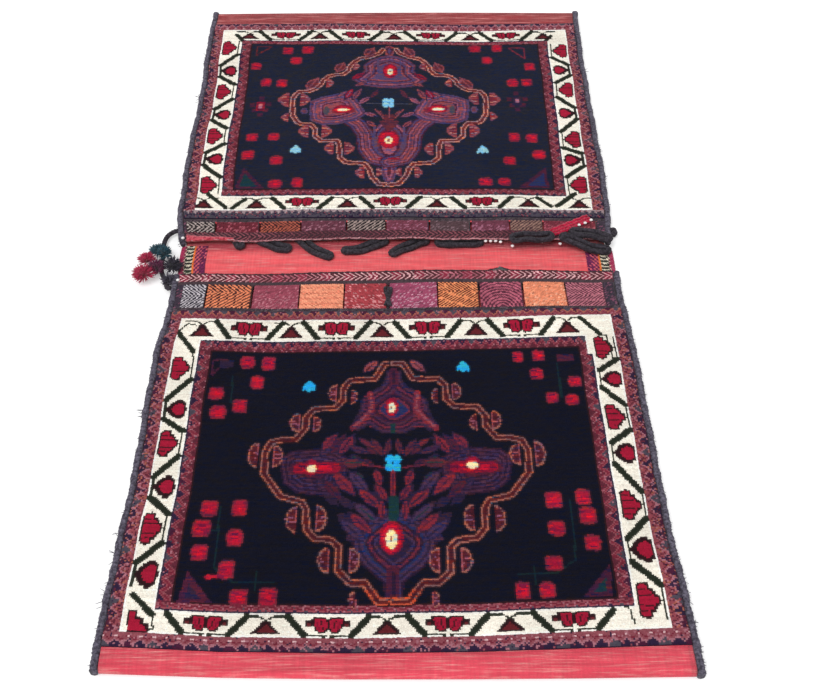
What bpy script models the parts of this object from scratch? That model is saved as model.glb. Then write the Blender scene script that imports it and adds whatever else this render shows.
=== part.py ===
"""Kilim saddle bag: one woven strip folded up at both ends into two pockets, joined by a bare bridge.

Metres, +Z up. The bag lies flat on its back cloth. +Y runs along its length, with the near pocket at
-Y, and the origin is under the middle of the bag, on the surface that it lies on.
"""
import math

import bmesh
import bpy
from mathutils import Vector

# The whole bag
CLOTH_WIDTH = 0.680
CLOTH = 0.003
POCKET_ROOM = 0.009
WAIST = 0.965
CLEAR = 0.0003

# Depth of each woven band of a pocket's face, from the fold to the mouth
NEAR_BANDS = {"plain": 0.032, "outer guard": 0.019, "border": 0.034, "inner guard": 0.012,
              "field": 0.415, "mouth guard": 0.022, "mouth border": 0.042,
              "mouth outer guard": 0.017, "dark": 0.007, "panels": 0.053, "chevrons": 0.026}
FAR_BANDS = {"plain": 0.037, "outer guard": 0.015, "border": 0.029, "inner guard": 0.016,
             "field": 0.425, "mouth guard": 0.023, "mouth border": 0.030,
             "mouth outer guard": 0.017, "dark": 0.006, "panels": 0.025, "chevrons": 0.019}
BRIDGE = 0.079
BAG_LENGTH = sum(NEAR_BANDS.values()) + BRIDGE + sum(FAR_BANDS.values())

# Width of each band along the two sides, from the cloth's edge inwards
SIDE_OUTER_GUARD = 0.017
SIDE_BORDER = 0.037
SIDE_INNER_GUARD = 0.020

# Knotted pile and the motifs that stand a little above it
PILE = 0.0035
MOTIF_RISE = 0.0008
VINE_WIDTH = 0.006
VINE_MARGIN = 0.003
VINE_REPEAT = 0.131
VINE_RUN_SHARE = 0.30
MEDALLION_HALF_HEIGHT = 0.193
MEDALLION_TOP = 0.015
MEDALLION_TREAD = 0.028
MEDALLION_RISER = 0.029
MEDALLION_SLANT = 0.012
MEDALLION_STEPS = 3
MEDALLION_BAND = 0.012
MEDALLION_ARM = 0.024

# Wrapped panels of the closure, left to right, with a slit between each two
NEAR_PANELS = ((0.037, "grey"), (0.068, "orange"), (0.069, "purple"), (0.066, "apricot"),
               (0.063, "madder"), (0.072, "purple"), (0.0615, "orange"), (0.0645, "purple"),
               (0.063, "apricot"), (0.0585, "purple"))
FAR_PANELS = ((0.044, "grey"), (0.068, "madder"), (0.063, "orange"), (0.071, "purple"),
              (0.060, "grey"), (0.068, "purple"), (0.065, "dark"), (0.060, "purple"),
              (0.052, "grey"), (0.056, "dark"), (0.026, "madder"))
PANEL_RISE = 0.0012
PANEL_SHIFT = -0.004
SLIT = 0.003
SLIT_END = 0.0015
OPENED_SLIT = 4
OPENED_SLIT_WIDTH = 0.0058

# Edge bindings, and the thin overcast edge of the bridge
BINDING_WIDTH = 0.0097
BINDING_HEIGHT = 0.017
BINDING_ROUND = 0.003
OVERCAST_WIDTH = 0.004

# Closure loops of braided cord
LOOP_CORD = 0.008
LOOP_EYE = 0.001
LOOP_LENGTH = 0.058
NEAR_LOOP_INSET = 0.016
ARCH_CORD = 0.0044
ARCH_FOOT = 0.005
ARCH_RISE = 0.0035

# Ends of each far loop: place across the bag, and how far inside the far mouth
FAR_LOOPS = (((-0.262, 0.036), (-0.240, -0.028)),
             ((-0.210, 0.008), (-0.156, -0.024)),
             ((-0.165, 0.025), (-0.097, -0.048)),
             ((-0.012, 0.002), (-0.085, -0.033)),
             ((0.052, 0.002), (-0.011, -0.038)),
             ((0.062, -0.006), (0.136, -0.006)),
             ((0.172, 0.002), (0.244, -0.002)),
             ((0.262, 0.000), (0.329, -0.045)),
             ((0.271, 0.021), (0.335, -0.024)))

# Tassel on its cord at the left end of the bridge, lying on the ground beside the bag
TASSEL_CORD = 0.008
CORD_HEIGHTS = (0.0090, 0.0090, 0.0065, 0.0045)
CORD_ROUTE = ((-0.3480, 0.0870), (-0.3595, 0.0780), (-0.3635, 0.0610), (-0.3608, 0.0430),
              (-0.3645, 0.0155), (-0.3660, -0.0010), (-0.3640, -0.0130), (-0.3590, -0.0310),
              (-0.3480, -0.0420))
CORD_POINT_STEP = 2.0
TASSELS = (("teal_tassel", 0.0095, 3, "teal wool"),
           ("upper_rose_tassel", 0.0115, 4, "rose wool"),
           ("lower_rose_tassel", 0.0120, 6, "rose wool"))

# Short wool strap across the right end of the far closure: its ends as for the loops
STRAP_START = (0.245, 0.011)
STRAP_END = (0.306, 0.046)
STRAP_WIDTH = 0.014
STRAP_HEIGHT = 0.004

COLOURS = {"red wool": (0.66, 0.09, 0.10), "navy wool": (0.012, 0.015, 0.030),
           "ivory wool": (0.87, 0.80, 0.62), "green wool": (0.035, 0.050, 0.030),
           "terracotta wool": (0.35, 0.09, 0.05), "goat hair": (0.050, 0.042, 0.052),
           "cord": (0.026, 0.021, 0.019), "rose wool": (0.43, 0.020, 0.060),
           "teal wool": (0.012, 0.060, 0.085), "grey": (0.25, 0.23, 0.27),
           "orange": (0.70, 0.18, 0.045), "purple": (0.17, 0.045, 0.090),
           "apricot": (0.80, 0.26, 0.11), "madder": (0.25, 0.035, 0.045),
           "dark": (0.055, 0.035, 0.042)}


def lay_out(side, bands):
    """The two Y edges of each band of a pocket's face, on the side given by its sign."""
    edges = {}
    run = 0.0
    for name, depth in bands.items():
        edges[name] = (side * (BAG_LENGTH / 2 - run), side * (BAG_LENGTH / 2 - run - depth))
        run += depth
    return edges


NEAR = lay_out(-1, NEAR_BANDS)
FAR = lay_out(1, FAR_BANDS)
NEAR_MOUTH = NEAR["chevrons"][1]
FAR_MOUTH = FAR["chevrons"][1]
FACE_TOP = CLOTH + POCKET_ROOM + CLOTH


def waist(y):
    """Share of the full width at a place along the bag, which narrows from the folds to the bridge."""
    if y < NEAR_MOUTH:
        reach = (y + BAG_LENGTH / 2) / (NEAR_MOUTH + BAG_LENGTH / 2)
    elif y > FAR_MOUTH:
        reach = (BAG_LENGTH / 2 - y) / (BAG_LENGTH / 2 - FAR_MOUTH)
    else:
        reach = 1.0
    return 1.0 + (WAIST - 1.0) * reach


def clear_scene():
    for obj in list(bpy.data.objects):
        bpy.data.objects.remove(obj, do_unlink=True)


def new_collection(name):
    collection = bpy.data.collections.new(name)
    bpy.context.scene.collection.children.link(collection)
    return collection


def wool(name):
    """One dyed wool, made the first time that a piece asks for it."""
    material = bpy.data.materials.get(name)
    if material is None:
        material = bpy.data.materials.new(name)
        material.use_nodes = True
        shader = material.node_tree.nodes["Principled BSDF"]
        shader.inputs["Base Color"].default_value = (*COLOURS[name], 1.0)
        shader.inputs["Roughness"].default_value = 0.9
        shader.inputs["Metallic"].default_value = 0.0
    return material


def add_object(name, data, colour, collection):
    piece = bpy.data.objects.new(name, data)
    collection.objects.link(piece)
    data.materials.append(wool(colour))
    return piece


def mesh_from(bm, name):
    mesh = bpy.data.meshes.new(name)
    bm.to_mesh(mesh)
    bm.free()
    return mesh


def plate(name, outlines, low, thick, colour, collection):
    """A flat piece of cloth or pile: outlines in plan, outer one first, narrowed with the bag."""
    curve = bpy.data.curves.new(name, "CURVE")
    curve.dimensions = "2D"
    curve.fill_mode = "BOTH"
    curve.extrude = thick / 2
    for outline in outlines:
        spline = curve.splines.new("POLY")
        spline.points.add(len(outline) - 1)
        for point, (x, y) in zip(spline.points, outline):
            point.co = (x, y, 0.0, 1.0)
        spline.use_cyclic_u = True
    shape = bpy.data.objects.new(name, curve)
    collection.objects.link(shape)
    filled = shape.evaluated_get(bpy.context.evaluated_depsgraph_get())
    bm = bmesh.new()
    bm.from_mesh(bpy.data.meshes.new_from_object(filled))
    bpy.data.objects.remove(shape, do_unlink=True)
    bmesh.ops.remove_doubles(bm, verts=bm.verts, dist=1e-6)
    for vert in bm.verts:
        vert.co.x *= waist(vert.co.y)
        vert.co.z += low + thick / 2
    bmesh.ops.recalc_face_normals(bm, faces=bm.faces)
    return add_object(name, mesh_from(bm, name), colour, collection)


def rectangle(left, right, y_a, y_b):
    low, high = sorted((y_a, y_b))
    return [(left, low), (right, low), (right, high), (left, high)]


def round_edges(piece, width):
    bevel = piece.modifiers.new("Soft edges", "BEVEL")
    bevel.width = width
    bevel.segments = 2


def tube(name, points, diameter, sides, closed, colour, collection):
    """A cord along a line of points, with closed ends unless it runs back into itself."""
    curve = bpy.data.curves.new(name, "CURVE")
    curve.dimensions = "3D"
    curve.bevel_depth = diameter / 2
    curve.bevel_resolution = sides // 2 - 2
    curve.use_fill_caps = not closed
    spline = curve.splines.new("POLY")
    spline.points.add(len(points) - 1)
    for point, place in zip(spline.points, points):
        point.co = (*place, 1.0)
    spline.use_cyclic_u = closed
    return add_object(name, curve, colour, collection)


def smooth_route(points, step):
    """Points about a step apart on a smooth curve through the given ones."""
    padded = [2 * points[0] - points[1], *points, 2 * points[-1] - points[-2]]
    route = []
    for a, b, c, d in zip(padded, padded[1:], padded[2:], padded[3:]):
        count = max(1, round((c - b).length / step))
        for index in range(count):
            t = index / count
            route.append(0.5 * (2 * b + (c - a) * t + (2 * a - 5 * b + 4 * c - d) * t ** 2
                                + (3 * b - a - 3 * c + d) * t ** 3))
    return [*route, points[-1]]


def offset_loop(points, distance):
    """A closed line moved sideways by a distance, to its left where that is positive."""
    moved = []
    for index, point in enumerate(points):
        before = Vector(point) - Vector(points[index - 1])
        after = Vector(points[(index + 1) % len(points)]) - Vector(point)
        side_a = Vector((-before.y, before.x)).normalized()
        side_b = Vector((-after.y, after.x)).normalized()
        reach = (side_a + side_b) / (1.0 + side_a.dot(side_b))
        moved.append(tuple(Vector(point) + reach * distance))
    return moved


def strip_path():
    """Middle line of the cloth in Y and Z: near lip, near fold, back, far fold, far lip."""
    turn = (POCKET_ROOM + CLOTH) / 2
    low = CLOTH / 2
    centre = BAG_LENGTH / 2 - turn - CLOTH / 2
    arc_steps = 8
    arc = [(turn * math.sin(math.pi * i / arc_steps), turn * math.cos(math.pi * i / arc_steps))
           for i in range(arc_steps + 1)]
    near_fold = [(-centre - out, low + turn + up) for out, up in arc]
    far_fold = [(centre + out, low + turn + up) for out, up in reversed(arc)]
    return [(NEAR_MOUTH, low + 2 * turn), *near_fold, (NEAR_MOUTH, low), (FAR_MOUTH, low),
            *far_fold, (FAR_MOUTH, low + 2 * turn)]


def slit_places(panels):
    """Left and right edge of each panel, and the centre and width of each slit between them."""
    gaps = [SLIT] * (len(panels) - 1)
    if panels is NEAR_PANELS:
        gaps[OPENED_SLIT] = OPENED_SLIT_WIDTH
    x = PANEL_SHIFT - (sum(width for width, _ in panels) + sum(gaps)) / 2
    spans = []
    slits = []
    for index, (width, _) in enumerate(panels):
        spans.append((x, x + width))
        x += width
        if index < len(gaps):
            slits.append((x + gaps[index] / 2, gaps[index]))
            x += gaps[index]
    return spans, slits


def slit_cutter(name, panels, edges, collection):
    """One block through the face cloth at each slit of a closure."""
    low, high = sorted(edges["panels"])
    middle = (low + high) / 2
    bm = bmesh.new()
    for centre, width in slit_places(panels)[1]:
        block = bmesh.ops.create_cube(bm, size=1.0)["verts"]
        size = (width, high - low - 2 * SLIT_END, 3 * CLOTH)
        bmesh.ops.scale(bm, vec=size, verts=block)
        place = (centre * waist(middle), middle, FACE_TOP - CLOTH / 2)
        bmesh.ops.translate(bm, vec=place, verts=block)
    cutter = bpy.data.objects.new(name, mesh_from(bm, name))
    collection.objects.link(cutter)
    cutter.hide_render = True
    cutter.display_type = "WIRE"
    return cutter


def woven_strip(parts, cutters):
    """The single folded cloth: back, bridge, both folds and both faces, slit along the closures."""
    bm = bmesh.new()
    rows = []
    for y, z in strip_path():
        half = CLOTH_WIDTH / 2 * waist(y)
        rows.append((bm.verts.new((-half, y, z)), bm.verts.new((half, y, z))))
    for (left_a, right_a), (left_b, right_b) in zip(rows, rows[1:]):
        bm.faces.new((left_a, right_a, right_b, left_b))
    strip = add_object("woven_strip", mesh_from(bm, "woven_strip"), "red wool", parts)
    shell = strip.modifiers.new("Cloth", "SOLIDIFY")
    shell.thickness = CLOTH
    shell.offset = 0.0
    shell.use_even_offset = True
    for name, panels, edges in (("near_slits", NEAR_PANELS, NEAR), ("far_slits", FAR_PANELS, FAR)):
        cut = strip.modifiers.new(name, "BOOLEAN")
        cut.operation = "DIFFERENCE"
        cut.object = slit_cutter(name, panels, edges, cutters)


def border_lane(half_width, y_a, y_b):
    """The four corners of a lane round the border, anticlockwise from the near left one."""
    return [Vector(corner) for corner in rectangle(-half_width, half_width, y_a, y_b)]


def vine_outline(outer, inner):
    """A zigzag that runs along the border's outer and inner lanes by turns, round all four sides."""
    points = []
    for index in range(4):
        start, end = outer[index], outer[(index + 1) % 4]
        along = (end - start).normalized()
        inwards = Vector((-along.y, along.x))
        depth = (inner[index] - start).dot(inwards)
        repeats = max(1, round((end - start).length / VINE_REPEAT))
        repeat = (end - start).length / repeats
        run = repeat * VINE_RUN_SHARE / 2
        points.append(start)
        for count in range(repeats):
            middle = start + along * repeat * (count + 0.5)
            points.append(start + along * (repeat * count + run))
            points.append(middle - along * run + inwards * depth)
            points.append(middle + along * run + inwards * depth)
            points.append(start + along * (repeat * (count + 1) - run))
    return points


def pile_face(pocket, edges, parts):
    """Ivory border ring with its vine, and the navy field inside it with its medallion."""
    border_out = CLOTH_WIDTH / 2 - SIDE_OUTER_GUARD
    border_in = border_out - SIDE_BORDER
    field_half = border_in - SIDE_INNER_GUARD
    low = FACE_TOP + CLEAR
    top = low + PILE + CLEAR
    outer_y = (edges["border"][0], edges["mouth border"][1])
    inner_y = (edges["border"][1], edges["mouth border"][0])
    plate(pocket + "_ivory_border",
          [rectangle(-border_out, border_out, *outer_y), rectangle(-border_in, border_in, *inner_y)],
          low, PILE, "ivory wool", parts)
    plate(pocket + "_navy_field", [rectangle(-field_half, field_half, *edges["field"])],
          low, PILE, "navy wool", parts)
    inset = VINE_MARGIN + VINE_WIDTH / 2
    toward = math.copysign(inset, outer_y[1] - outer_y[0])
    lane_out = border_lane(border_out - inset, outer_y[0] + toward, outer_y[1] - toward)
    lane_in = border_lane(border_in + inset, inner_y[0] - toward, inner_y[1] + toward)
    vine = vine_outline(lane_out, lane_in)
    plate(pocket + "_border_vine",
          [offset_loop(vine, -VINE_WIDTH / 2), offset_loop(vine, VINE_WIDTH / 2)],
          top, MOTIF_RISE, "green wool", parts)
    medallion(pocket, sum(edges["field"]) / 2, top, parts)


def stair():
    """One quarter of the medallion's stepped outline, from its top corner down to its side."""
    x, y = MEDALLION_TOP, MEDALLION_HALF_HEIGHT
    points = [(x, y)]
    for _ in range(MEDALLION_STEPS):
        for across, down in ((MEDALLION_SLANT, MEDALLION_SLANT), (MEDALLION_TREAD, 0.0),
                             (MEDALLION_SLANT, MEDALLION_SLANT), (0.0, MEDALLION_RISER)):
            x += across
            y -= down
            points.append((x, y))
    return points


def medallion(pocket, centre_y, low, parts):
    """The stepped band with a cross of arms inside, as one pierced plate."""
    quarter = stair()
    band_out = [point for turn in ((1, 1), (1, -1), (-1, -1), (-1, 1))
                for point in mirrored(quarter, *turn)]
    band_in = offset_loop(band_out, -MEDALLION_BAND)
    arm = MEDALLION_ARM / 2
    inner_quarter = band_in[1:len(quarter)]
    top = (arm, inner_quarter[0][1] + (inner_quarter[0][0] - arm))
    side = (inner_quarter[-1][0], arm)
    window = [(arm, arm), top, *inner_quarter, side]
    windows = [mirrored(window, *turn) for turn in ((1, 1), (1, -1), (-1, -1), (-1, 1))]
    outlines = [[(x, y + centre_y) for x, y in outline] for outline in (band_out, *windows)]
    plate(pocket + "_medallion", outlines, low, MOTIF_RISE, "terracotta wool", parts)


def mirrored(points, flip_x, flip_y):
    """A quarter outline in another quarter, in the order that carries on round the whole."""
    ordered = points if flip_x * flip_y > 0 else list(reversed(points))
    return [(x * flip_x, y * flip_y) for x, y in ordered]


def closure_panels(pocket, panels, edges, parts):
    """The row of wrapped panels, each on the face cloth between two slits."""
    for index, ((left, right), (_, colour)) in enumerate(zip(slit_places(panels)[0], panels)):
        plate(f"{pocket}_panel_{index + 1:02d}", [rectangle(left, right, *edges["panels"])],
              FACE_TOP + CLEAR, PANEL_RISE, colour, parts)


def side_bindings(parts):
    """A braided binding down each side of each pocket, and the overcast edges of the bridge."""
    inner = CLOTH_WIDTH / 2 + CLEAR
    outer = inner + BINDING_WIDTH
    for pocket, edges in (("near", NEAR), ("far", FAR)):
        reach = (edges["plain"][0], edges["chevrons"][1])
        for side, left, right in (("left", -outer, -inner), ("right", inner, outer)):
            binding = plate(f"{pocket}_{side}_binding", [rectangle(left, right, *reach)],
                            0.0, BINDING_HEIGHT, "goat hair", parts)
            round_edges(binding, BINDING_ROUND)
    reach = (NEAR_MOUTH + CLEAR, FAR_MOUTH - CLEAR)
    outer = inner + OVERCAST_WIDTH
    for side, left, right in (("left", -outer, -inner), ("right", inner, outer)):
        plate(f"bridge_{side}_overcast", [rectangle(left, right, *reach)],
              0.0, CLOTH, "rose wool", parts)


def far_place(place):
    """A point given by its place across the bag and how far it is inside the far mouth."""
    return (place[0], FAR_MOUTH + place[1])


def cord_loop(name, start, end, parts):
    """A cord doubled into a flat loop between two end points, lying on the back cloth."""
    start, end = Vector(start), Vector(end)
    along = (end - start).normalized()
    across = Vector((-along.y, along.x))
    spread = (LOOP_CORD + LOOP_EYE) / 2
    end_room = spread + LOOP_CORD / 2
    height = CLOTH + CLEAR + LOOP_CORD / 2
    points = []
    for centre, facing in ((end - along * end_room, 1.0), (start + along * end_room, -1.0)):
        for step in range(5):
            angle = math.pi * (step / 4 - 0.5)
            turn = along * facing * math.cos(angle) + across * facing * math.sin(angle)
            points.append((*(centre + turn * spread), height))
    tube(name, points, LOOP_CORD, 6, True, "cord", parts)


def closure_loops(parts):
    """Far loops lie out on the bridge; near ones lie inside the mouth, and one stands in its slit."""
    for index, (start, end) in enumerate(FAR_LOOPS):
        cord_loop(f"far_loop_{index + 1}", far_place(start), far_place(end), parts)
    row = NEAR_MOUTH - NEAR_LOOP_INSET
    for index, (centre, _) in enumerate(slit_places(NEAR_PANELS)[1]):
        name = f"near_loop_{index + 1}"
        x = centre * waist(row)
        if index == OPENED_SLIT:
            arch_loop(name, centre, parts)
        else:
            cord_loop(name, (x - LOOP_LENGTH / 2, row), (x + LOOP_LENGTH / 2, row), parts)


def arch_loop(name, centre, parts):
    """The loop that is pushed up through its slit, from the back cloth to just above the panels."""
    low, high = sorted(NEAR["panels"])
    x = centre * waist((low + high) / 2)
    start = low + SLIT_END + ARCH_CORD / 2 + CLEAR
    end = high - SLIT_END - ARCH_CORD / 2 - CLEAR
    foot = CLOTH + CLEAR + ARCH_CORD / 2
    top = FACE_TOP + ARCH_RISE - ARCH_CORD / 2
    route = [Vector((x, start, foot)), Vector((x, start + ARCH_FOOT, top)),
             Vector((x, (start + end) / 2, top)), Vector((x, end - ARCH_FOOT, top)),
             Vector((x, end, foot))]
    tube(name, smooth_route(route, 2 * ARCH_CORD), ARCH_CORD, 6, False, "cord", parts)


def tassel_cord(parts):
    """The cord from the far pocket's corner to the near one's, with the tassels tied against it."""
    radius = TASSEL_CORD / 2
    edge = CLOTH_WIDTH / 2 + CLEAR + BINDING_WIDTH
    first_y, last_y = CORD_ROUTE[0][1], CORD_ROUTE[-1][1]
    start = (-edge * waist(first_y) - CLEAR, first_y)
    end = (-edge * waist(last_y) - CLEAR, last_y)
    heights = [*CORD_HEIGHTS, *[radius] * (len(CORD_ROUTE) - 2 * len(CORD_HEIGHTS) + 2),
               *reversed(CORD_HEIGHTS)]
    route = [Vector((*place, height)) for place, height in zip((start, *CORD_ROUTE, end), heights)]
    points = smooth_route(route, CORD_POINT_STEP * TASSEL_CORD)
    tube("tassel_cord", points, TASSEL_CORD, 8, False, "cord", parts)
    for name, size, tied_at, colour in TASSELS:
        before, place, after = (Vector(CORD_ROUTE[tied_at + step]) for step in (-1, 0, 1))
        along = (after - before).normalized()
        outwards = Vector((along.y, -along.x))
        between = math.sqrt((size + radius + CLEAR) ** 2 - (size - radius) ** 2)
        bm = bmesh.new()
        bmesh.ops.create_uvsphere(bm, u_segments=12, v_segments=8, radius=size)
        mesh = mesh_from(bm, name)
        mesh.shade_smooth()
        ball = add_object(name, mesh, colour, parts)
        ball.location = (*(place + outwards * between), size)


def wool_strap(parts):
    """A flat wool strap that lies aslant across the panels."""
    start, end = Vector(far_place(STRAP_START)), Vector(far_place(STRAP_END))
    bm = bmesh.new()
    bmesh.ops.create_cube(bm, size=1.0)
    bmesh.ops.scale(bm, vec=((end - start).length, STRAP_WIDTH, STRAP_HEIGHT), verts=bm.verts)
    strap = add_object("wool_strap", mesh_from(bm, "wool_strap"), "rose wool", parts)
    low = FACE_TOP + CLEAR + PANEL_RISE + CLEAR
    strap.location = (*((start + end) / 2), low + STRAP_HEIGHT / 2)
    strap.rotation_euler.z = math.atan2(end.y - start.y, end.x - start.x)
    round_edges(strap, STRAP_HEIGHT / 4)


def build():
    clear_scene()
    parts = new_collection("Kilim saddle bag")
    cutters = new_collection("Cutters")
    woven_strip(parts, cutters)
    for pocket, panels, edges in (("near", NEAR_PANELS, NEAR), ("far", FAR_PANELS, FAR)):
        pile_face(pocket, edges, parts)
        closure_panels(pocket, panels, edges, parts)
    side_bindings(parts)
    closure_loops(parts)
    tassel_cord(parts)
    wool_strap(parts)


build()
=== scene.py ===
"""Looks of the kilim saddle bag: dyed wool pile, wrapped weave, red flat weave, goat-hair cord, tassels.

Metres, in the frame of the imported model. The cloth's own places are given across (u, from the bag's
middle line, before the bag narrows) and along (y). Motifs are given in millimetres: X from the
middle line of the finished bag, Y from its near edge.
"""
import copy
import math

import bmesh
import bpy
import numpy as np
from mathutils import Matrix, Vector


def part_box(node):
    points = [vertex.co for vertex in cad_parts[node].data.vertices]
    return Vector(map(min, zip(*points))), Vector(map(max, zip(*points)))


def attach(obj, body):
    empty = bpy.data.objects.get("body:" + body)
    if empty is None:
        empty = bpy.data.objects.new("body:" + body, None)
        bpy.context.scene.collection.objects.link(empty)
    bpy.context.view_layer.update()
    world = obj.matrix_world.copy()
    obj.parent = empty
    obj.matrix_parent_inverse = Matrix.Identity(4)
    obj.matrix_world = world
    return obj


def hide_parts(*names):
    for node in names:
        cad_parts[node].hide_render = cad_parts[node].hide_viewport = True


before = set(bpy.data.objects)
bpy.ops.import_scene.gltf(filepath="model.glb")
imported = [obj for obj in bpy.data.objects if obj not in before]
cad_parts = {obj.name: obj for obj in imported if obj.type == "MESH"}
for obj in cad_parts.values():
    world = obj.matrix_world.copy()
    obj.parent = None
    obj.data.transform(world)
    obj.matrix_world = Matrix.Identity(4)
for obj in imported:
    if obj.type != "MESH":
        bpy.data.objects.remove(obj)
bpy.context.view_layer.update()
rng = np.random.default_rng(7)
MM = 0.001

# Sizes repeated from the part
CLOTH_WIDTH = 0.680
CLOTH = 0.003
POCKET_ROOM = 0.009
WAIST = 0.965
CLEAR = 0.0003
PILE = 0.0035
HALF_LENGTH = 0.700
NEAR_MOUTH = -0.021
FAR_MOUTH = 0.058
FACE_TOP = CLOTH + POCKET_ROOM + CLOTH
SLIT = 0.003
SLIT_END = 0.0015
OPENED_SLIT = 4
OPENED_SLIT_WIDTH = 0.0058
PANEL_SHIFT = -0.004
BINDING_WIDTH = 0.0097
BINDING_HEIGHT = 0.017
LOOP_CORD = 0.008
LOOP_EYE = 0.001
LOOP_LENGTH = 0.058
NEAR_LOOP_INSET = 0.016
ARCH_CORD = 0.0044

# Bands round each pocket's pile, in millimetres: half widths, and Y from the bag's near edge
SIDE_IVORY_OUT, SIDE_IVORY_IN, SIDE_FIELD = 323, 286, 266
NEAR_RINGS = {"outer": (32, 593), "ivory": (51, 576), "guard": (85, 534), "field": (97, 512)}
FAR_RINGS = {"outer": (808, 1363), "ivory": (825, 1346), "guard": (860, 1312), "field": (878, 1300)}
NEAR_DARK, NEAR_PANEL_ROW, NEAR_CHEVRONS = (593, 600), (600, 653), (653, 679)
FAR_DARK, FAR_PANEL_ROW, FAR_CHEVRONS = (802, 808), (777, 802), (758, 777)

# How far the cloth has strayed at a few places of its length, from left to right: first along the
# bag, then across it
ALONG_AT = (-0.340, -0.200, -0.060, 0.080, 0.210, 0.340)
STRAYED_ALONG = (
    (-0.700, (0.014, 0.008, 0.005, 0.004, 0.004, 0.005)),
    (-0.655, (0.011, 0.002, 0.000, 0.001, 0.005, 0.011)),
    (-0.400, (0.002, 0.000, 0.000, 0.000, 0.002, 0.004)),
    (-0.124, (0.008, 0.003, 0.003, 0.005, 0.010, 0.014)),
    (-0.100, (0.008, 0.005, 0.005, 0.006, 0.008, 0.010)),
    (-0.021, (0.002, 0.002, 0.005, 0.005, 0.006, 0.005)),
    (0.058, (0.001, 0.001, 0.003, 0.000, -0.001, 0.000)),
    (0.125, (0.002, 0.003, 0.004, 0.001, 0.001, -0.003)),
    (0.640, (0.000, -0.003, -0.004, -0.005, -0.003, 0.000)),
    (0.700, (0.016, 0.018, 0.019, 0.019, 0.017, 0.015)))
ACROSS_AT = (-0.350, -0.300, 0.0, 0.300, 0.350)
STRAYED_ACROSS = (
    (-0.700, (-0.006, -0.005, 0, 0.003, 0.008)), (-0.653, (-0.009, -0.006, 0, 0.003, 0.010)),
    (-0.571, (-0.004, -0.005, 0, 0.002, 0.006)), (-0.480, (-0.003, -0.003, 0, 0.000, 0.000)),
    (-0.280, (-0.003, -0.004, 0, 0.002, 0.005)), (-0.175, (-0.006, -0.004, 0, 0.002, 0.003)),
    (-0.083, (0.002, -0.001, 0, 0.000, -0.002)), (-0.010, (0.001, 0.000, 0, 0.002, 0.004)),
    (0.040, (0.000, 0.000, 0, 0.002, 0.005)), (0.060, (0.000, 0.000, 0, 0.000, 0.000)),
    (0.086, (-0.006, -0.004, 0, 0.000, 0.001)), (0.130, (-0.011, -0.007, 0, -0.001, 0.003)),
    (0.224, (-0.009, -0.007, 0, -0.002, 0.004)), (0.360, (-0.005, -0.005, 0, 0.000, 0.002)),
    (0.512, (0.000, -0.001, 0, -0.002, -0.004)), (0.576, (-0.001, -0.001, 0, -0.003, -0.005)),
    (0.700, (0.000, 0.000, 0, 0.000, 0.000)))
LIP_PEAK, LIP_PEAK_HALF, LIP_PEAK_RISE = 0.163, 0.020, 0.007
SWAY = 0.0011
SWELL = 0.0011
FAR_HEM_END, FAR_HEM = -0.262, 0.012

# Knots of the pile
KNOT = 0.0022
KNOT_ROUGHNESS = 0.00022
DYES = {
    "near navy": "#0B0C1D", "far navy": "#191D30", "ivory": "#FCF4E5", "white": "#FFFBF4",
    "green": "#23291F", "madder": "#A31634", "crimson": "#86102F", "outline": "#2B1218",
    "terracotta": "#A8604F", "salmon": "#A86C78", "dark red": "#4B1520", "purple": "#2D1C37",
    "plum": "#471A34", "blue": "#232C58", "light blue": "#27AEE6", "pale blue": "#8CC8E2",
    "cream": "#FAE6BC", "pink": "#B46A7C", "teal": "#12333A", "brown": "#641F26", "flame": "#B84C34",
    "dusk": "#2C1D38", "rosewood": "#8E4A54", "scarlet": "#C01030", "brick": "#762436", "ash": "#A48E92",
    "slate": "#4A4450", "rust": "#924650", "wine": "#5C2432", "mauve": "#94536C", "mulberry": "#5E3048",
    "violet": "#544066", "rose": "#8A4450", "dusty line": "#9C5F57", "pale line": "#BE8480",
    "near stripe": "#472742", "near hollow": "#2B152E", "crown stripe": "#68263C",
    "urn stripe": "#442D4E", "blush": "#DDB4B8", "dim teal": "#0E242C"}
KNOT_SOFTNESS_FIELD, KNOT_SOFTNESS = 0.26, 0.08
# Dyed wool varies along a row: a run of knots is a little redder or bluer than the next
STREAK = 4
STREAK_TINT = np.array([0.30, 0.08, -0.16])


def srgb(code):
    """A hex colour as linear light."""
    values = [int(code[i:i + 2], 16) / 255 for i in (1, 3, 5)]
    return [v / 12.92 if v <= 0.04045 else ((v + 0.055) / 1.055) ** 2.4 for v in values]


def waist(y):
    """Share of the full width at a place along the bag."""
    near = (y + HALF_LENGTH) / (NEAR_MOUTH + HALF_LENGTH)
    far = (HALF_LENGTH - y) / (HALF_LENGTH - FAR_MOUTH)
    return 1.0 + (WAIST - 1.0) * np.clip(np.minimum(near, far), 0.0, 1.0)


def strayed_by(table, places, u, y):
    """How far the cloth has strayed at a place, read between the rows and columns of a table."""
    across = np.array([np.interp(u, places, row) for _, row in table])
    stops = [stop for stop, _ in table]
    at = np.clip(np.interp(y, stops, np.arange(len(stops))), 0, len(stops) - 1.001)
    low = np.floor(at).astype(int)
    share = at - low
    picked = [np.take_along_axis(across, (low + step)[None], 0)[0] for step in (0, 1)]
    return picked[0] * (1 - share) + picked[1] * share


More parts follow.
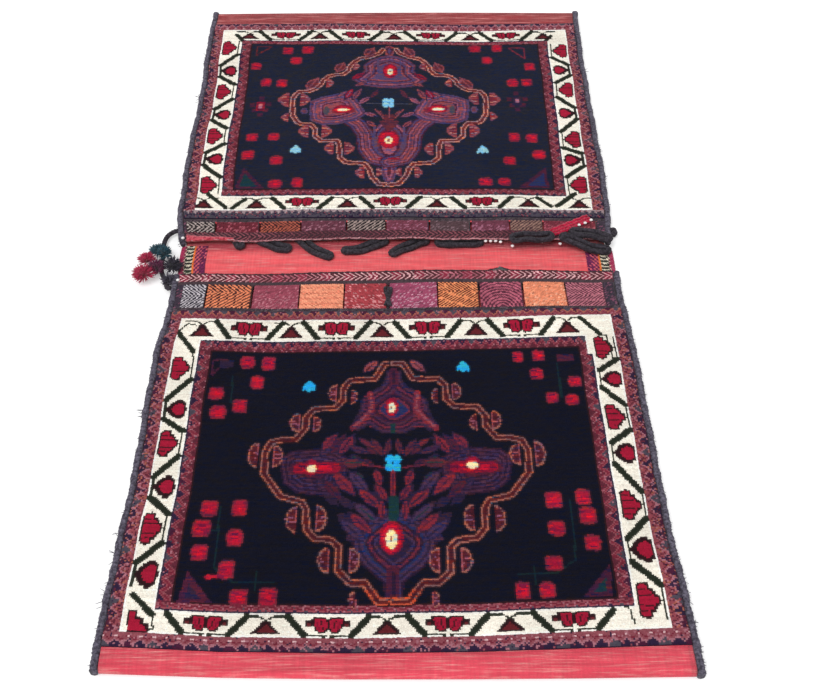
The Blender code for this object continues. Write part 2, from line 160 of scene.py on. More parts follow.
def place(u, y):
    """Real X and Y of a place on the cloth."""
    u, y = np.broadcast_arrays(np.asarray(u, float), np.asarray(y, float))
    sway = SWAY * np.where(u < 0, np.sin(23 * y + 1.3) + 0.6 * np.sin(61 * y),
                           np.sin(19 * y + 4.0) + 0.6 * np.sin(53 * y + 1.0))
    x = u * waist(y) + strayed_by(STRAYED_ACROSS, ACROSS_AT, u, y)
    x = x + np.sign(u) * sway * (u / (CLOTH_WIDTH / 2)) ** 2
    near_lip = np.clip(1 - np.abs(y - NEAR_MOUTH) / LIP_PEAK_HALF, 0, 1) * (y <= NEAR_MOUTH + 1e-6)
    peak = LIP_PEAK_RISE * near_lip * np.clip(1 - np.abs(u - LIP_PEAK) / LIP_PEAK_HALF, 0, 1)
    return x, y + strayed_by(STRAYED_ALONG, ALONG_AT, u, y) + peak


def swell(u, y):
    """How far the upper cloth stands above its flat height."""
    folds = np.clip((HALF_LENGTH - 0.006 - np.abs(y)) / 0.05, 0, 1)
    edges = np.clip((CLOTH_WIDTH / 2 - np.abs(u)) / 0.03, 0, 1)
    waves = (np.sin(11 * u + 4 * y + 0.7) + np.sin(17 * y - 5 * u + 2.0)
             + 0.5 * np.sin(37 * u + 9 * y) + 0.5 * np.sin(31 * y + 13 * u + 1.0))
    lip = np.clip(1 - (y - FAR_MOUTH) / 0.016, 0, 1) * (y >= FAR_MOUTH - 1e-6)
    curl = np.where(u < FAR_HEM_END, 0.0035, 0.0008) + 0.0008 * np.sin(60 * u)
    return folds * edges * SWELL * waves + lip ** 2 * curl * edges


def add_node(tree, kind, settings=None, links=None):
    """A shader node with its settings and the sockets that feed its inputs. Gives its outputs."""
    made = tree.nodes.new("ShaderNode" + kind)
    for name, value in (settings or {}).items():
        if isinstance(name, int) or name in made.inputs:
            made.inputs[name].default_value = value
        else:
            setattr(made, name, value)
    for name, source in (links or {}).items():
        tree.links.new(source, made.inputs[name])
    return made.outputs


def new_material(name):
    """A new material with no nodes yet, and its node tree."""
    material = bpy.data.materials.new(name)
    material.use_nodes = True
    material.node_tree.nodes.clear()
    return material, material.node_tree


def finish_wool(tree, colour, height, roughness=0.92, sheen=0.25, gloss=0.2, bump=0.0006):
    """The wool shader that every fibre shares: dull, with a faint bloom of loose hairs."""
    relief = add_node(tree, "Bump", {"Strength": 0.9, "Distance": bump}, {"Height": height})
    shader = add_node(tree, "BsdfPrincipled",
                      {"Roughness": roughness, "Specular IOR Level": gloss, "Sheen Weight": sheen,
                       "Sheen Roughness": 0.5}, {"Base Color": colour, "Normal": relief[0]})
    add_node(tree, "OutputMaterial", links={"Surface": shader[0]})


def mottled(tree, colour, spot, scale, low, high):
    """A colour made lighter and darker by noise of a given number of grains per metre, and that noise."""
    grain = add_node(tree, "TexNoise", {"Scale": scale, "Detail": 2.0}, {"Vector": spot})[0]
    level = add_node(tree, "MapRange", {"From Min": 0.3, "From Max": 0.7, "To Min": low, "To Max": high},
                     {"Value": grain})[0]
    toned = add_node(tree, "Mix", {"data_type": "RGBA", "blend_type": "MULTIPLY", 0: 1.0},
                     {6: colour, 7: level})[2]
    return toned, grain


def knotted_pile():
    """Knotted wool pile: each knot a tuft of cut yarn 2.2 mm across, matt, darker between the tufts."""
    material, tree = new_material("knotted wool pile")
    dye = add_node(tree, "Attribute", {"attribute_name": "dye"})["Color"]
    spot = add_node(tree, "TexCoord")["Object"]
    colour, fibre = mottled(tree, dye, spot, 900, 0.80, 1.14)
    colour, _ = mottled(tree, colour, spot, 14, 0.90, 1.10)
    tuft = add_node(tree, "TexVoronoi", {"Scale": 1 / KNOT, "Randomness": 0.6}, {"Vector": spot})
    height = add_node(tree, "Math", {"operation": "SUBTRACT"}, {0: fibre, 1: tuft["Distance"]})
    finish_wool(tree, colour, height[0], sheen=0.02, gloss=0.12, bump=0.0007)
    return material


def wrapped_wool():
    """Wool yarn wrapped over the warps: plied, so that each stitch shows its fine slanting strands."""
    material, tree = new_material("wrapped wool yarn")
    dye = add_node(tree, "Attribute", {"attribute_name": "dye"})["Color"]
    spot = add_node(tree, "TexCoord")["Object"]
    colour, fibre = mottled(tree, dye, spot, 1100, 0.78, 1.15)
    finish_wool(tree, colour, fibre, sheen=0.12, bump=0.0005)
    return material


def red_kilim():
    """Weft-faced flat weave in coral red: pale slubs run with the weft, and the rows are 1 mm apart.

    It is painted deeper at both folds, as painted shade where the cloth turns down, and painted crimson shade
    lies beside the far lip, strongest close to it.
    """
    material, tree = new_material("coral red kilim weave")
    spot = add_node(tree, "TexCoord")["Object"]
    along = add_node(tree, "SeparateXYZ", links={0: spot})[1]
    # Painted shade: the red is mixed deeper towards the near fold and towards the far fold, where the cloth
    # turns down
    near = add_node(tree, "MapRange", {"From Min": -0.50, "From Max": -0.66}, {"Value": along})[0]
    far = add_node(tree, "MapRange", {"From Min": 0.50, "From Max": 0.64}, {"Value": along})[0]
    # Painted shade: crimson mixed into the red close to the far lip, strongest just beside it
    lip = add_node(tree, "Math", {"operation": "SUBTRACT", 1: FAR_MOUTH}, {0: along})[0]
    lip = add_node(tree, "Math", {"operation": "ABSOLUTE"}, {0: lip})[0]
    lip = add_node(tree, "MapRange", {"From Min": 0.015, "From Max": 0.004, "To Max": 0.8},
                   {"Value": lip})[0]
    slub = add_node(tree, "Mapping", {"Scale": (26, 520, 26)}, {"Vector": spot})[0]
    slub = add_node(tree, "TexNoise", {"Scale": 1.0, "Detail": 4.0, "Roughness": 0.6}, {"Vector": slub})[0]
    slub = add_node(tree, "MapRange", {"From Min": 0.50, "From Max": 0.72, "To Max": 0.85},
                    {"Value": slub})[0]
    colour = add_node(tree, "Mix", {"data_type": "RGBA", 6: (*srgb("#FC5A62"), 1),
                                    7: (*srgb("#EA4E60"), 1)}, {0: near})[2]
    # Painted shade at the far fold, painted crimson shade beside the far lip, and the weft's real pale slubs
    for share, code in ((far, "#9A2A30"), (lip, "#A8283F"), (slub, "#F7A09C")):
        colour = add_node(tree, "Mix", {"data_type": "RGBA", 7: (*srgb(code), 1)}, {0: share, 6: colour})[2]
    for scale, low, high in (((7, 110, 7), 0.80, 1.12), ((260, 30, 30), 0.93, 1.06)):
        stretched = add_node(tree, "Mapping", {"Scale": scale}, {"Vector": spot})[0]
        colour, _ = mottled(tree, colour, stretched, 1.0, low, high)
    rows = add_node(tree, "TexWave", {"bands_direction": "Y", "Scale": 160, "Distortion": 1.5,
                                      "Detail": 2.0, "Detail Scale": 3.0}, {"Vector": spot})
    warps = add_node(tree, "TexWave", {"bands_direction": "X", "Scale": 65, "Distortion": 0.6},
                     {"Vector": spot})
    height = add_node(tree, "Math", {"operation": "MULTIPLY_ADD", 1: 0.5}, {0: warps["Fac"], 2: rows["Fac"]})
    finish_wool(tree, colour, height[0], sheen=0.15)
    return material


def two_tones(tree, spot, dark, light, grain, low, high):
    """A colour that turns from dark to light with noise, and that noise."""
    noise = add_node(tree, "TexNoise", grain, {"Vector": spot})[0]
    share = add_node(tree, "MapRange", {"From Min": low, "From Max": high}, {"Value": noise})[0]
    colour = add_node(tree, "Mix", {"data_type": "RGBA", 6: (*srgb(dark), 1), 7: (*srgb(light), 1)},
                      {0: share})[2]
    return colour, noise


def hair_cord(name, dark, light):
    """Plied goat hair: stiff, dark and slightly glossy, with paler hairs in it."""
    material, tree = new_material(name)
    spot = add_node(tree, "TexCoord")["Object"]
    colour, _ = two_tones(tree, spot, dark, light, {"Scale": 260, "Detail": 4.0, "Roughness": 0.7},
                          0.40, 0.72)
    hairs = add_node(tree, "TexNoise", {"Scale": 1600, "Detail": 1.0}, {"Vector": spot})[0]
    finish_wool(tree, colour, hairs, roughness=0.78, sheen=0.08, bump=0.0005)
    return material


def yarn(name, dark, light):
    """Loose dyed wool strands of a tassel or a stitch: a painted highlight on top and painted shade between
    the strands.
    """
    material, tree = new_material(name)
    spot = add_node(tree, "TexCoord")["Object"]
    # The light tone follows the bump height: painted highlight on the tops, painted shade in the hollows
    # between the strands
    colour, grain = two_tones(tree, spot, dark, light, {"Scale": 320, "Detail": 2.0}, 0.35, 0.65)
    finish_wool(tree, colour, grain, bump=0.0003)
    return material


def bead_glass():
    """Opaque white glass beads: smooth and glossy, with a little cloudiness."""
    material, tree = new_material("white glass bead")
    white = add_node(tree, "RGB")[0]
    white.default_value = (*srgb("#F7F4F4"), 1)
    colour, _ = mottled(tree, white, add_node(tree, "TexCoord")["Object"], 500, 0.88, 1.0)
    shader = add_node(tree, "BsdfPrincipled", {"Roughness": 0.25, "IOR": 1.5}, {"Base Color": colour})
    add_node(tree, "OutputMaterial", links={"Surface": shader[0]})
    return material


def new_piece(name, verts, faces, material, *nodes, slot=None):
    """A smooth-shaded mesh piece that rides on the bag and stands for the given solids."""
    mesh = bpy.data.meshes.new(name)
    mesh.from_pydata(np.asarray(verts).tolist(), [], faces)
    mesh.shade_smooth()
    mesh.materials.append(material)
    piece = bpy.data.objects.new(name, mesh)
    bpy.context.scene.collection.objects.link(piece)
    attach(piece, "root")
    if nodes:
        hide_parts(*nodes)
    return piece


def dye_faces(piece, colours):
    """Gives each face of a piece its own dyed colour."""
    mesh = piece.data
    sizes = np.empty(len(mesh.polygons), np.int32)
    mesh.polygons.foreach_get("loop_total", sizes)
    corners = np.ones((int(sizes.sum()), 4), np.float32)
    corners[:, :3] = np.repeat(np.asarray(colours, np.float32), sizes, axis=0)
    layer = mesh.color_attributes.new("dye", "FLOAT_COLOR", "CORNER")
    layer.data.foreach_set("color", corners.ravel())


def grid_faces(rows, columns):
    """Quads of a grid of vertices, row by row."""
    index = np.arange(rows * columns).reshape(rows, columns)
    quads = np.stack([index[:-1, :-1], index[:-1, 1:], index[1:, 1:], index[1:, :-1]], -1)
    return quads.reshape(-1, 4).tolist()


def grid_rim(rows, columns):
    """The vertices round a grid, in order."""
    index = np.arange(rows * columns).reshape(rows, columns)
    return [*index[0, :-1], *index[:-1, -1], *index[-1, :0:-1], *index[:0:-1, 0]]


def tube_faces(count, sides, closed=False):
    """Quads between the rings of a tube, and a cap at both ends if it isn't closed."""
    faces = []
    for ring in range(count if closed else count - 1):
        a, b = ring * sides, (ring + 1) % count * sides
        faces += [[a + s, a + (s + 1) % sides, b + (s + 1) % sides, b + s] for s in range(sides)]
    if not closed:
        faces += [list(range(sides))[::-1], list(range((count - 1) * sides, count * sides))]
    return faces


class Pile:
    """The knots of one pocket's face, with the place and the dye of each."""

    def __init__(self, low, high, ground):
        rows = round((high - low) * MM / KNOT)
        columns = round(CLOTH_WIDTH / KNOT)
        self.lines_y = np.linspace(low * MM - HALF_LENGTH, high * MM - HALF_LENGTH, rows + 1)
        self.lines_u = np.linspace(-CLOTH_WIDTH / 2, CLOTH_WIDTH / 2, columns + 1)
        middle_y = (self.lines_y[1:] + self.lines_y[:-1]) / 2
        middle_u = (self.lines_u[1:] + self.lines_u[:-1]) / 2
        u, y = np.meshgrid(middle_u, middle_y)
        x, strayed = place(u, y)
        self.u = u / MM
        self.row = (y + HALF_LENGTH) / MM
        self.x = x / MM
        self.y = (strayed + HALF_LENGTH) / MM
        self.lift = self.y - self.row
        self.dye = np.full(u.shape, ground, dtype=object)
        self.free = np.ones(u.shape, bool)

    def part(self, free, x=None, y=None):
        """The same knots, of which only some are free to be dyed, and measured from elsewhere."""
        part = copy.copy(self)
        part.free = free
        part.x = self.x if x is None else x
        part.y = self.y if y is None else y
        return part

    def paint(self, where, dye):
        self.dye[where & self.free] = dye

    def polygon(self, points, dye):
        self.paint(inside(points, self.x, self.y), dye)

    def line(self, points, width, dye):
        self.paint(distance(points, self.x, self.y) < width / 2, dye)

    def block(self, x, y, width, height, dye):
        self.paint((np.abs(self.x - x) < width / 2) & (np.abs(self.y - y) < height / 2), dye)


def inside(points, x, y):
    """Which places lie inside a closed outline."""
    hit = np.zeros(x.shape, bool)
    for (xa, ya), (xb, yb) in zip(points, [*points[1:], points[0]]):
        if ya != yb:
            hit ^= ((ya > y) != (yb > y)) & (x < (xb - xa) * (y - ya) / (yb - ya) + xa)
    return hit


def distance(points, x, y):
    """How far places lie from a line of points."""
    best = np.full(x.shape, np.inf)
    for (xa, ya), (xb, yb) in zip(points, points[1:]):
        dx, dy = xb - xa, yb - ya
        t = np.clip(((x - xa) * dx + (y - ya) * dy) / max(dx * dx + dy * dy, 1e-9), 0, 1)
        best = np.minimum(best, np.hypot(x - xa - t * dx, y - ya - t * dy))
    return best


def teeth(along, period):
    """A zigzag between 0 and 1."""
    return np.abs((along / period) % 1 * 2 - 1)


def saw_band(pile, where, across, along, period, reach, outer, inner, edge, strays=0.04, second=None):
    """Teeth of one wool on another, with a paler line of knots where they meet, and stray knots."""
    height = reach * teeth(along, period)
    for index, dye in enumerate(outer):
        turn = np.floor(along / period + 0.5) % len(outer) == index
        pile.paint(where & (across < height) & turn, dye)
    pile.paint(where & (across >= height), inner)
    pile.paint(where & (np.abs(across - height) < 1.3), edge)
    if second:
        pile.paint(where & (np.abs(across - height - 5.6) < 1.2), second)
    chance = rng.random(pile.x.shape)
    pile.paint(where & (chance < strays), outer[0])
    pile.paint(where & (chance > 1 - strays), inner)
    pile.paint(where & (np.abs(chance - 0.5) < strays), "salmon")


def guard_bands(pile, rings, far):
    """Toothed guard bands outside and inside the ivory border."""
    side = np.abs(pile.u)
    low, high = rings["outer"]
    in_low, in_high = rings["ivory"]
    ends = (pile.row < in_low) | (pile.row > in_high)
    sides = (side > SIDE_IVORY_OUT) & ~ends
    saw_band(pile, sides, 338 - side, pile.row, 19, 12, ("dusk", "slate", "dusk", "plum"), "rust",
             "salmon", second="wine")
    chance = rng.random(pile.x.shape)
    pile.paint(sides & (chance < 0.08), "terracotta")
    pile.paint(sides & (chance > 0.88), "wine")
    end_depth = np.where(pile.row < in_low, pile.row - low, high - pile.row)
    mouth = pile.row < in_low if far else pile.row > in_high
    saw_band(pile, ends & ~mouth, end_depth - 4, pile.x, 15, 6, ("dusk", "slate", "dusk", "plum"),
             "rosewood", "salmon", second="brick")
    pile.paint(ends & ~mouth & (np.abs(end_depth - 14.5) < 1.7) & (teeth(pile.x + 7.5, 15) < 0.24), "blush")
    if far:
        chance = rng.random(pile.x.shape)
        pile.paint(ends & mouth, "slate")
        pile.paint(ends & mouth & (chance < 0.25), "dusk")
        pile.paint(ends & mouth & (end_depth > 17 - 8 * teeth(pile.x, 11)), "ash")
        pile.paint(ends & mouth & (chance > 0.93), "rosewood")
    else:
        saw_band(pile, ends & mouth, end_depth - 4, pile.x, 12, 8, ("plum", "slate"), "rose", "terracotta",
                 strays=0.02, second="brick")
    guard_low, guard_high = rings["guard"]
    field_low, field_high = rings["field"]
    ring = (side < SIDE_IVORY_IN) & (pile.row > guard_low) & (pile.row < guard_high)
    body = (side < SIDE_FIELD) & (pile.row > field_low) & (pile.row < field_high)
    ends = ring & ~body & ((pile.row < field_low) | (pile.row > field_high))
    sides = ring & ~body & ~ends
    end_depth = np.where(pile.row < field_low, pile.row - guard_low, guard_high - pile.row)
    end_room = np.where(pile.row < field_low, field_low - guard_low, guard_high - field_high) - 4
    for part, depth, along, period, reach in ((sides, SIDE_IVORY_IN - side - 2, pile.row, 20, 11),
                                              (ends, end_depth - 2, pile.x, 13.5, end_room - 5)):
        saw_band(pile, part, depth, along, period, reach, ("slate", "dusk", "plum", "dusk"), "brick",
                 "rust", strays=0.02, second="rosewood")
        hollow = reach * teeth(along, period)
        pile.paint(part & (depth > hollow + 7), "wine")
        chance = rng.random(pile.x.shape)
        pile.paint(part & (chance > 0.97), "salmon")
        pile.paint(part & (chance < 0.04), "brick")
        pile.paint(part & (depth < 0.6), "dusk")
    off_field = np.maximum(side - SIDE_FIELD, np.maximum(field_low - pile.row, pile.row - field_high))
    pile.paint(ring & ~body & (off_field < 2.2), "outline")


def ivory_border(pile, rings, jog=0):
    """The ivory ring, with a whiter line of knots along both its edges, and a jog at one corner."""
    low, high = rings["ivory"]
    in_low, in_high = rings["guard"]
    side = np.abs(pile.u) + np.where((pile.u > 0) & (pile.row > in_high - 36), jog, 0)
    outer = np.minimum(SIDE_IVORY_OUT - np.abs(pile.u), np.minimum(pile.row - low, high - pile.row))
    inner = np.maximum(side - SIDE_IVORY_IN, np.maximum(in_low - pile.row, pile.row - in_high))
    ring = (outer > 0) & (inner > 0)
    pile.paint(ring, "ivory")
    pile.paint(ring & ((outer < 2.2) | (inner < 2.2)), "white")
    return ring


# A tulip and a heart of the side borders, as depth from the edge they open to and place along it
TULIP = ((3, 0), (3, -15), (5, -20), (12, -22), (18, -21), (19, -15), (23, -14), (25, -8), (29, -6), (30, 0))
TULIP_RED = (
    (5, 0), (5, -14), (7, -18), (12, -20), (16, -18), (17, -12), (21, -11), (23, -5), (27, -3), (27, 0))
HEART = ((5, 0), (11, -8), (15, -13), (19, -14), (21, -17), (29, -17), (31, -13), (34, -12), (35, 0))
HEART_RED = ((14, 0), (18, -7), (24, -11), (29, -10), (32, -6), (32, 0))


def both_sides(half, y, size):
    """A whole outline about a place along the border, from its lower half, longer or shorter along it."""
    return [(b, y + a * size) for b, a in half] + [(b, y - a * size) for b, a in reversed(half) if a]


def side_vine(pile, ring, sign, flipped, tulips, hearts, low, high):
    """One side of the border: a vine that steps between its two edges, with tulips and hearts."""
    depth = pile.u * sign - SIDE_IVORY_IN if flipped else SIDE_IVORY_OUT - pile.u * sign
    within = ring & (pile.u * sign > SIDE_IVORY_IN - 8) & (pile.y > low) & (pile.y < high)
    side = pile.part(within, depth)
    lane_in, lane_out = 33, 5
    stops = sorted([(y, 22, lane_in) for y in tulips] + [(y, 17, lane_out) for y in hearts])
    for y, run, lane in stops:
        side.line([(lane, y - run), (lane, y + run)], 2.6, "green")
    for (y_a, run_a, lane_a), (y_b, run_b, lane_b) in zip(stops, stops[1:]):
        side.line([(lane_a, y_a + run_a), (lane_b, y_b - run_b)], 9.4, "green")
    for y in tulips:
        size = max(1.05, 1.22 - y * 0.0004)
        side.line([(24, y), (lane_in, y)], 2.4, "green")
        side.polygon(both_sides(TULIP, y, size), "outline")
        side.polygon(both_sides(TULIP_RED, y, size), "madder")
        for along, reach in ((-13, 14), (-6, 21), (6, 21), (13, 14)):
            side.line([(5, y + along * size), (reach, y + along * size)], 2.0, "dark red")
    for y in hearts:
        size = max(0.95, 1.30 - y * 0.0008)
        side.line([(lane_out, y), (10, y)], 2.4, "green")
        side.polygon(both_sides(HEART, y, size), "outline")
        side.polygon(both_sides(HEART_RED, y, size), "madder")


# Outlines of an end border's butterfly: away from its middle, and as a share of the border's height
WING = ((15, 0.46), (27, 0.46), (27, 0.74), (15, 0.74))
WING_BROWN = ((20, 0.48), (24, 0.48), (24, 0.62), (20, 0.62))
BODY = ((0, 0.38), (4, 0.22), (15, 0.26), (17, 0.48), (20, 0.70), (19, 0.86), (5, 0.88), (0, 0.80))
BODY_RED = ((1.6, 0.44), (5, 0.29), (13, 0.32), (15, 0.50), (17, 0.72), (16, 0.80), (6, 0.82), (1.6, 0.74))


def end_vine(pile, ring, low, high, butterflies, triangles):
    """One end of the border: butterflies between triangles, drawn the same way up at every end."""
    tall = high - low
    base, top = 0.13 * tall, 0.86 * tall
    end = pile.part(ring & (pile.row > low) & (pile.row < high), y=pile.y - low - pile.lift)
    for x in triangles:
        for turn in (-1, 1):
            end.line([(x + turn * 24, top), (x + turn * 9, top), (x - turn * 5, 0.60 * tall)], 2.8, "green")
        end.polygon([(x - 18, base + 1), (x + 18, base + 1), (x + 2, 0.70 * tall), (x - 2, 0.70 * tall)],
                    "outline")
        end.polygon([(x - 10, base + 4), (x + 10, base + 4), (x, 0.54 * tall)], "brown")
    for x in butterflies:
        for turn in (-1, 1):
            end.line([(x + turn * 3, base - 1), (x + turn * 27, base)], 3.4, "green")
            end.line([(x + turn * 28, base), (x + turn * 48, top)], 9.0, "green")
            for outline, dye in ((WING, "outline"), (BODY, "outline"), (BODY_RED, "madder")):
                end.polygon([(x + turn * away, share * tall) for away, share in outline], dye)
            end.line([(x + turn * 6, 0.36 * tall), (x + turn * 9, 0.74 * tall)], 2.0, "dark red")
            end.line([(x + turn * 11, 0.40 * tall), (x + turn * 14, 0.66 * tall)], 2.2, "crimson")
            end.polygon([(x + turn * away, share * tall) for away, share in WING_BROWN], "brown")


# Stepped band of the near medallion, down from its top, as distances from its own middle line
NEAR_BAND = (
    (12.5, 492), (26.5, 463), (60.5, 461), (69.5, 448), (70.5, 424), (80.5, 410), (110.5, 408),
    (120.5, 392), (120.5, 374), (133.5, 353), (151.5, 353), (165.5, 349), (172.5, 332), (171.5, 295),
    (147.5, 258), (119.5, 250), (113.5, 239), (111.5, 208), (101.5, 194), (78.5, 191), (69.5, 181),
    (68.5, 145), (53.5, 128), (35.5, 128), (18.5, 101))
# Fan leaves beside the band's upright runs: middle of the flat side, height, and side it opens to
NEAR_LEAVES = (
    (78, 437, 32, 1), (61, 430, 27, -1), (128, 384, 34, 1), (111, 381, 29, -1), (180, 326, 44, 1),
    (163, 325, 37, -1), (123, 222, 42, 1), (101, 224, 42, -1), (80, 161, 38, 1), (57, 161, 38, -1),
    (45, 104, 24, 1))
# Petals about the middle, the dim ones first: root, tip, width, body and heart
NEAR_SHADES = (
    ((50, 244), (28, 227), 14, "urn stripe", "dusk"), ((71, 258), (52, 239), 13, "dusk", "purple"),
    ((32, 266), (17, 244), 13, "dusk", "teal"), ((49, 277), (32, 258), 13, "plum", "dusk"),
    ((54, 298), (38, 277), 13, "teal", "dusk"), ((58, 326), (42, 311), 12, "dusk", "teal"),
    ((42, 318), (25, 306), 11, "plum", "dusk"), ((98, 324), (85, 344), 13, "near stripe", "dusk"),
    ((81, 330), (69, 353), 13, "plum", "near stripe"), ((62, 339), (50, 357), 12, "dusk", "plum"),
    ((36, 338), (22, 326), 10, "plum", "wine"), ((23, 279), (16, 258), 12, "plum", "brick"),
    ((12, 242), (12, 220), 11, "urn stripe", "dusk"), ((72, 231), (51, 216), 14, "dusk", "purple"),
    ((61, 192), (43, 199), 13, "near stripe", "dusk"), ((102, 287), (83, 268), 14, "near stripe", "dusk"),
    ((90, 262), (71, 244), 12, "dusk", "purple"), ((18, 324), (10, 334), 9, "brick", "plum"))
NEAR_PETALS = (
    ((97, 334), (76, 364), 16, "brick", "plum"), ((86, 327), (64, 363), 15, "plum", "dusk"),
    ((74, 325), (52, 363), 16, "brick", "near hollow"), ((73, 312), (33, 312), 18, "wine", "teal"),
    ((82, 300), (48, 258), 20, "brick", "plum"), ((60, 300), (30, 259), 16, "urn stripe", "dusk"),
    ((94, 287), (66, 250), 15, "plum", "dusk"), ((48, 272), (14, 236), 16, "brick", "purple"),
    ((53, 250), (17, 213), 15, "urn stripe", "teal"), ((59, 234), (24, 197), 17, "brick", "plum"),
    ((70, 224), (32, 185), 17, "urn stripe", "dusk"), ((24, 302), (16, 272), 13, "brick", "plum"),
    ((22, 277), (7, 248), 12, "brick", "plum"), ((30, 353), (14, 323), 13, "wine", "plum"),
    ((5, 354), (9, 324), 10, "wine", "plum"), ((48, 355), (25, 337), 10, "wine", "brick"),
    ((62, 341), (31, 327), 12, "near stripe", "plum"), ((15, 255), (15, 217), 10, "brick", "plum"))
# Strokes below and above the petals: their points, width and dye
NEAR_STROKES = (
    (((0, 478), (0, 452)), 12, "plum"), (((0, 476), (0, 456)), 5, "near hollow"),
    (((32, 436), (30, 406), (43, 386), (56, 372)), 8.5, "brick"),
    (((32, 434), (30, 407), (43, 388), (54, 375)), 3.4, "rose"),
    (((38, 432), (37, 408), (50, 388)), 2.4, "near hollow"),
    *((((27, y), (40, y)), 2.0, "crown stripe") for y in range(376, 436, 6)),
    (((0, 378), (0, 366)), 7, "teal"), (((0, 146), (0, 104)), 15, "plum"),
    (((0, 142), (0, 108)), 4, "near hollow"))
NEAR_STEMS = (
    (((0, 297), (0, 258)), 7, "brick"), (((0, 292), (0, 262)), 2.4, "plum"),
    (((12, 304), (40, 308)), 2.4, "brick"), (((0, 253), (0, 225)), 13, "teal"),
    (((76, 304), (128, 304)), 22, "plum"), (((80, 304), (124, 304)), 18, "crimson"),
    (((86, 304), (118, 304)), 9, "scarlet"))
NEAR_CROWN = (
    (0, 480), (11, 478), (12, 462), (18, 450), (31, 440), (45, 424), (48, 402), (60, 374), (48, 366),
    (34, 378), (26, 370), (14, 362), (0, 362))
NEAR_URN = (
    (0, 238), (14, 234), (28, 224), (46, 208), (53, 188), (49, 170), (38, 152), (24, 138), (13, 128),
    (11, 104), (0, 104))
NEAR_ARM = (
    (152, 310), (150, 324), (138, 334), (100, 338), (76, 332), (62, 322), (60, 298), (70, 272), (84, 258),
    (100, 260), (128, 264), (146, 280))
# The far medallion: its left half as places in the photo, which its right half mirrors
FAR_BAND = (
    (383, 48), (380, 51.6), (368.6, 55.9), (360, 57.3), (354.3, 60.9), (350, 65.1), (348.6, 69.4),
    (342.9, 73.7), (335.7, 73.7), (328.6, 75.1), (322.9, 79.4), (321.4, 83), (315.7, 87.3), (310, 89.4),
    (298.6, 90.1), (294.3, 94.4), (292.8, 98), (292.6, 113.7), (297.1, 120.9), (301.4, 123), (310.7, 123),
    (315, 128), (315, 135.1), (321.4, 140.1), (337.1, 140.1), (339.3, 145.1), (339.7, 156.6),
    (345.7, 161.6), (364.3, 163), (369.3, 168.7), (371.4, 175.1), (378.6, 183), (389.3, 184.2))
FAR_LEAVES = (
    (289.3, 98, 42, -1), (300, 98, 38, 1), (288.6, 115.9, 26, -1), (309, 130.1, 38, -1),
    (321.4, 130.1, 38, 1), (334, 147.3, 34, -1), (344.6, 148, 34, 1), (364, 171.6, 30, -1),
    (376.4, 171.6, 22, 1), (327, 82, 26, 1), (353.4, 65, 24, 1))
FAR_SLANTED = (((307, 88), (318.6, 76.6)), ((337, 70.9), (344.3, 61.6)), ((365.7, 55.1), (374.3, 46.6)))
FAR_CROWN = (
    (389.3, 53.5), (380, 55), (370.5, 58.5), (363.5, 63.7), (364.5, 69.4), (359, 74), (351, 78.5),
    (363, 85), (380, 87), (389.3, 87))
FAR_URN = ((389.3, 120), (381, 123), (373, 130), (369, 140), (370, 150), (376, 159), (389.3, 163))
FAR_FOOT = ((389.3, 161), (382, 164), (381, 172), (384.5, 181), (389.3, 183))
FAR_BLOSSOM = ((389.3, 44.5), (386, 45.6), (384.6, 49.4), (386, 53.4), (389.3, 54.4))
FAR_ARM = (
    (309, 108), (310.4, 99.5), (322, 95.5), (340, 92.5), (355, 96.5), (361, 105), (367, 114), (355, 120),
    (337, 123.6), (321, 123.6), (310.5, 119.5))
FAR_SPUR = ((300.4, 109.4), (302.4, 106.4), (306.4, 106.4), (308.4, 109.4), (306.4, 112.6), (302.4, 112.6))
FAR_WING = ((345, 116), (358, 124), (365, 134), (366.5, 148), (374, 158.5), (389.3, 162))
FAR_PETALS = (
    ((345, 99), (353, 88), 15, "crimson", "mauve"), ((352, 100), (362, 87), 14, "rose", "plum"),
    ((358, 104), (371, 96), 13, "mauve", "wine"), ((351, 79), (366, 71), 14, "crimson", "plum"),
    ((354, 86), (369, 80), 11, "rose", "plum"), ((371, 98), (379, 88), 10, "wine", "plum"),
    ((363, 112), (379, 117), 12, "mauve", "wine"), ((366, 120), (377, 128), 11, "rose", "plum"),
    ((336, 97), (348, 90), 10, "violet", "rose"), ((378, 110), (384, 116), 6, "rose", "wine"))
FAR_STROKES = (
    (((378.6, 58), (378.6, 76)), 4, "violet"), (((373, 62), (371, 74)), 3, "rose"),
    (((374.6, 127), (373.6, 142), (376.4, 151), (383, 156)), 5, "violet"),
    (((379, 158.7), (389.3, 158.7)), 4, "crimson"), (((389.3, 107), (389.3, 128)), 2.4, "rose"),
    (((375.5, 109.5), (383.5, 118)), 2.4, "rose"), (((367, 103.3), (383, 103.3)), 2.0, "slate"))
FAR_HEARTS = (
    (((336, 109.8), (351, 109.8)), 15, "brick"), (((338, 109.8), (349, 109.8)), 9, "crimson"),
    (((389.3, 130), (386, 116)), 9, "wine"), (((389.3, 130), (382.6, 122)), 9, "wine"))
# Middle lines of the two medallions, and how far each half of the near one reaches
NEAR_MIDDLE, NEAR_REACH = -3.8, {-1: 0.985, 1: 1.035}
FAR_MIDDLE = -11.2


def from_pixel(px, py, height):
    """X and Y, in metres, of a point of the photo that lies at a height on the bag."""
    row = 3508.8 / (py + 986) - 2.1112 - HALF_LENGTH + 0.95 * (0.019 - height)
    return (px - 394) * 1.9058 / (py + 986) - 0.003, row


def near_sides(points):
    """A figure of the near medallion, in millimetres, to the left and right of its middle line."""
    return [[(NEAR_MIDDLE + x * turn * reach, y) for x, y in points] for turn, reach in NEAR_REACH.items()]


def far_sides(points):
    """A figure of the far medallion, in millimetres, from the photo's left half, and its mirror image."""
    spots = [from_pixel(px, py, 0.019) for px, py in points]
    left = [(x / MM, (y + HALF_LENGTH) / MM) for x, y in spots]
    return [left, [(2 * FAR_MIDDLE - x, y) for x, y in left]]


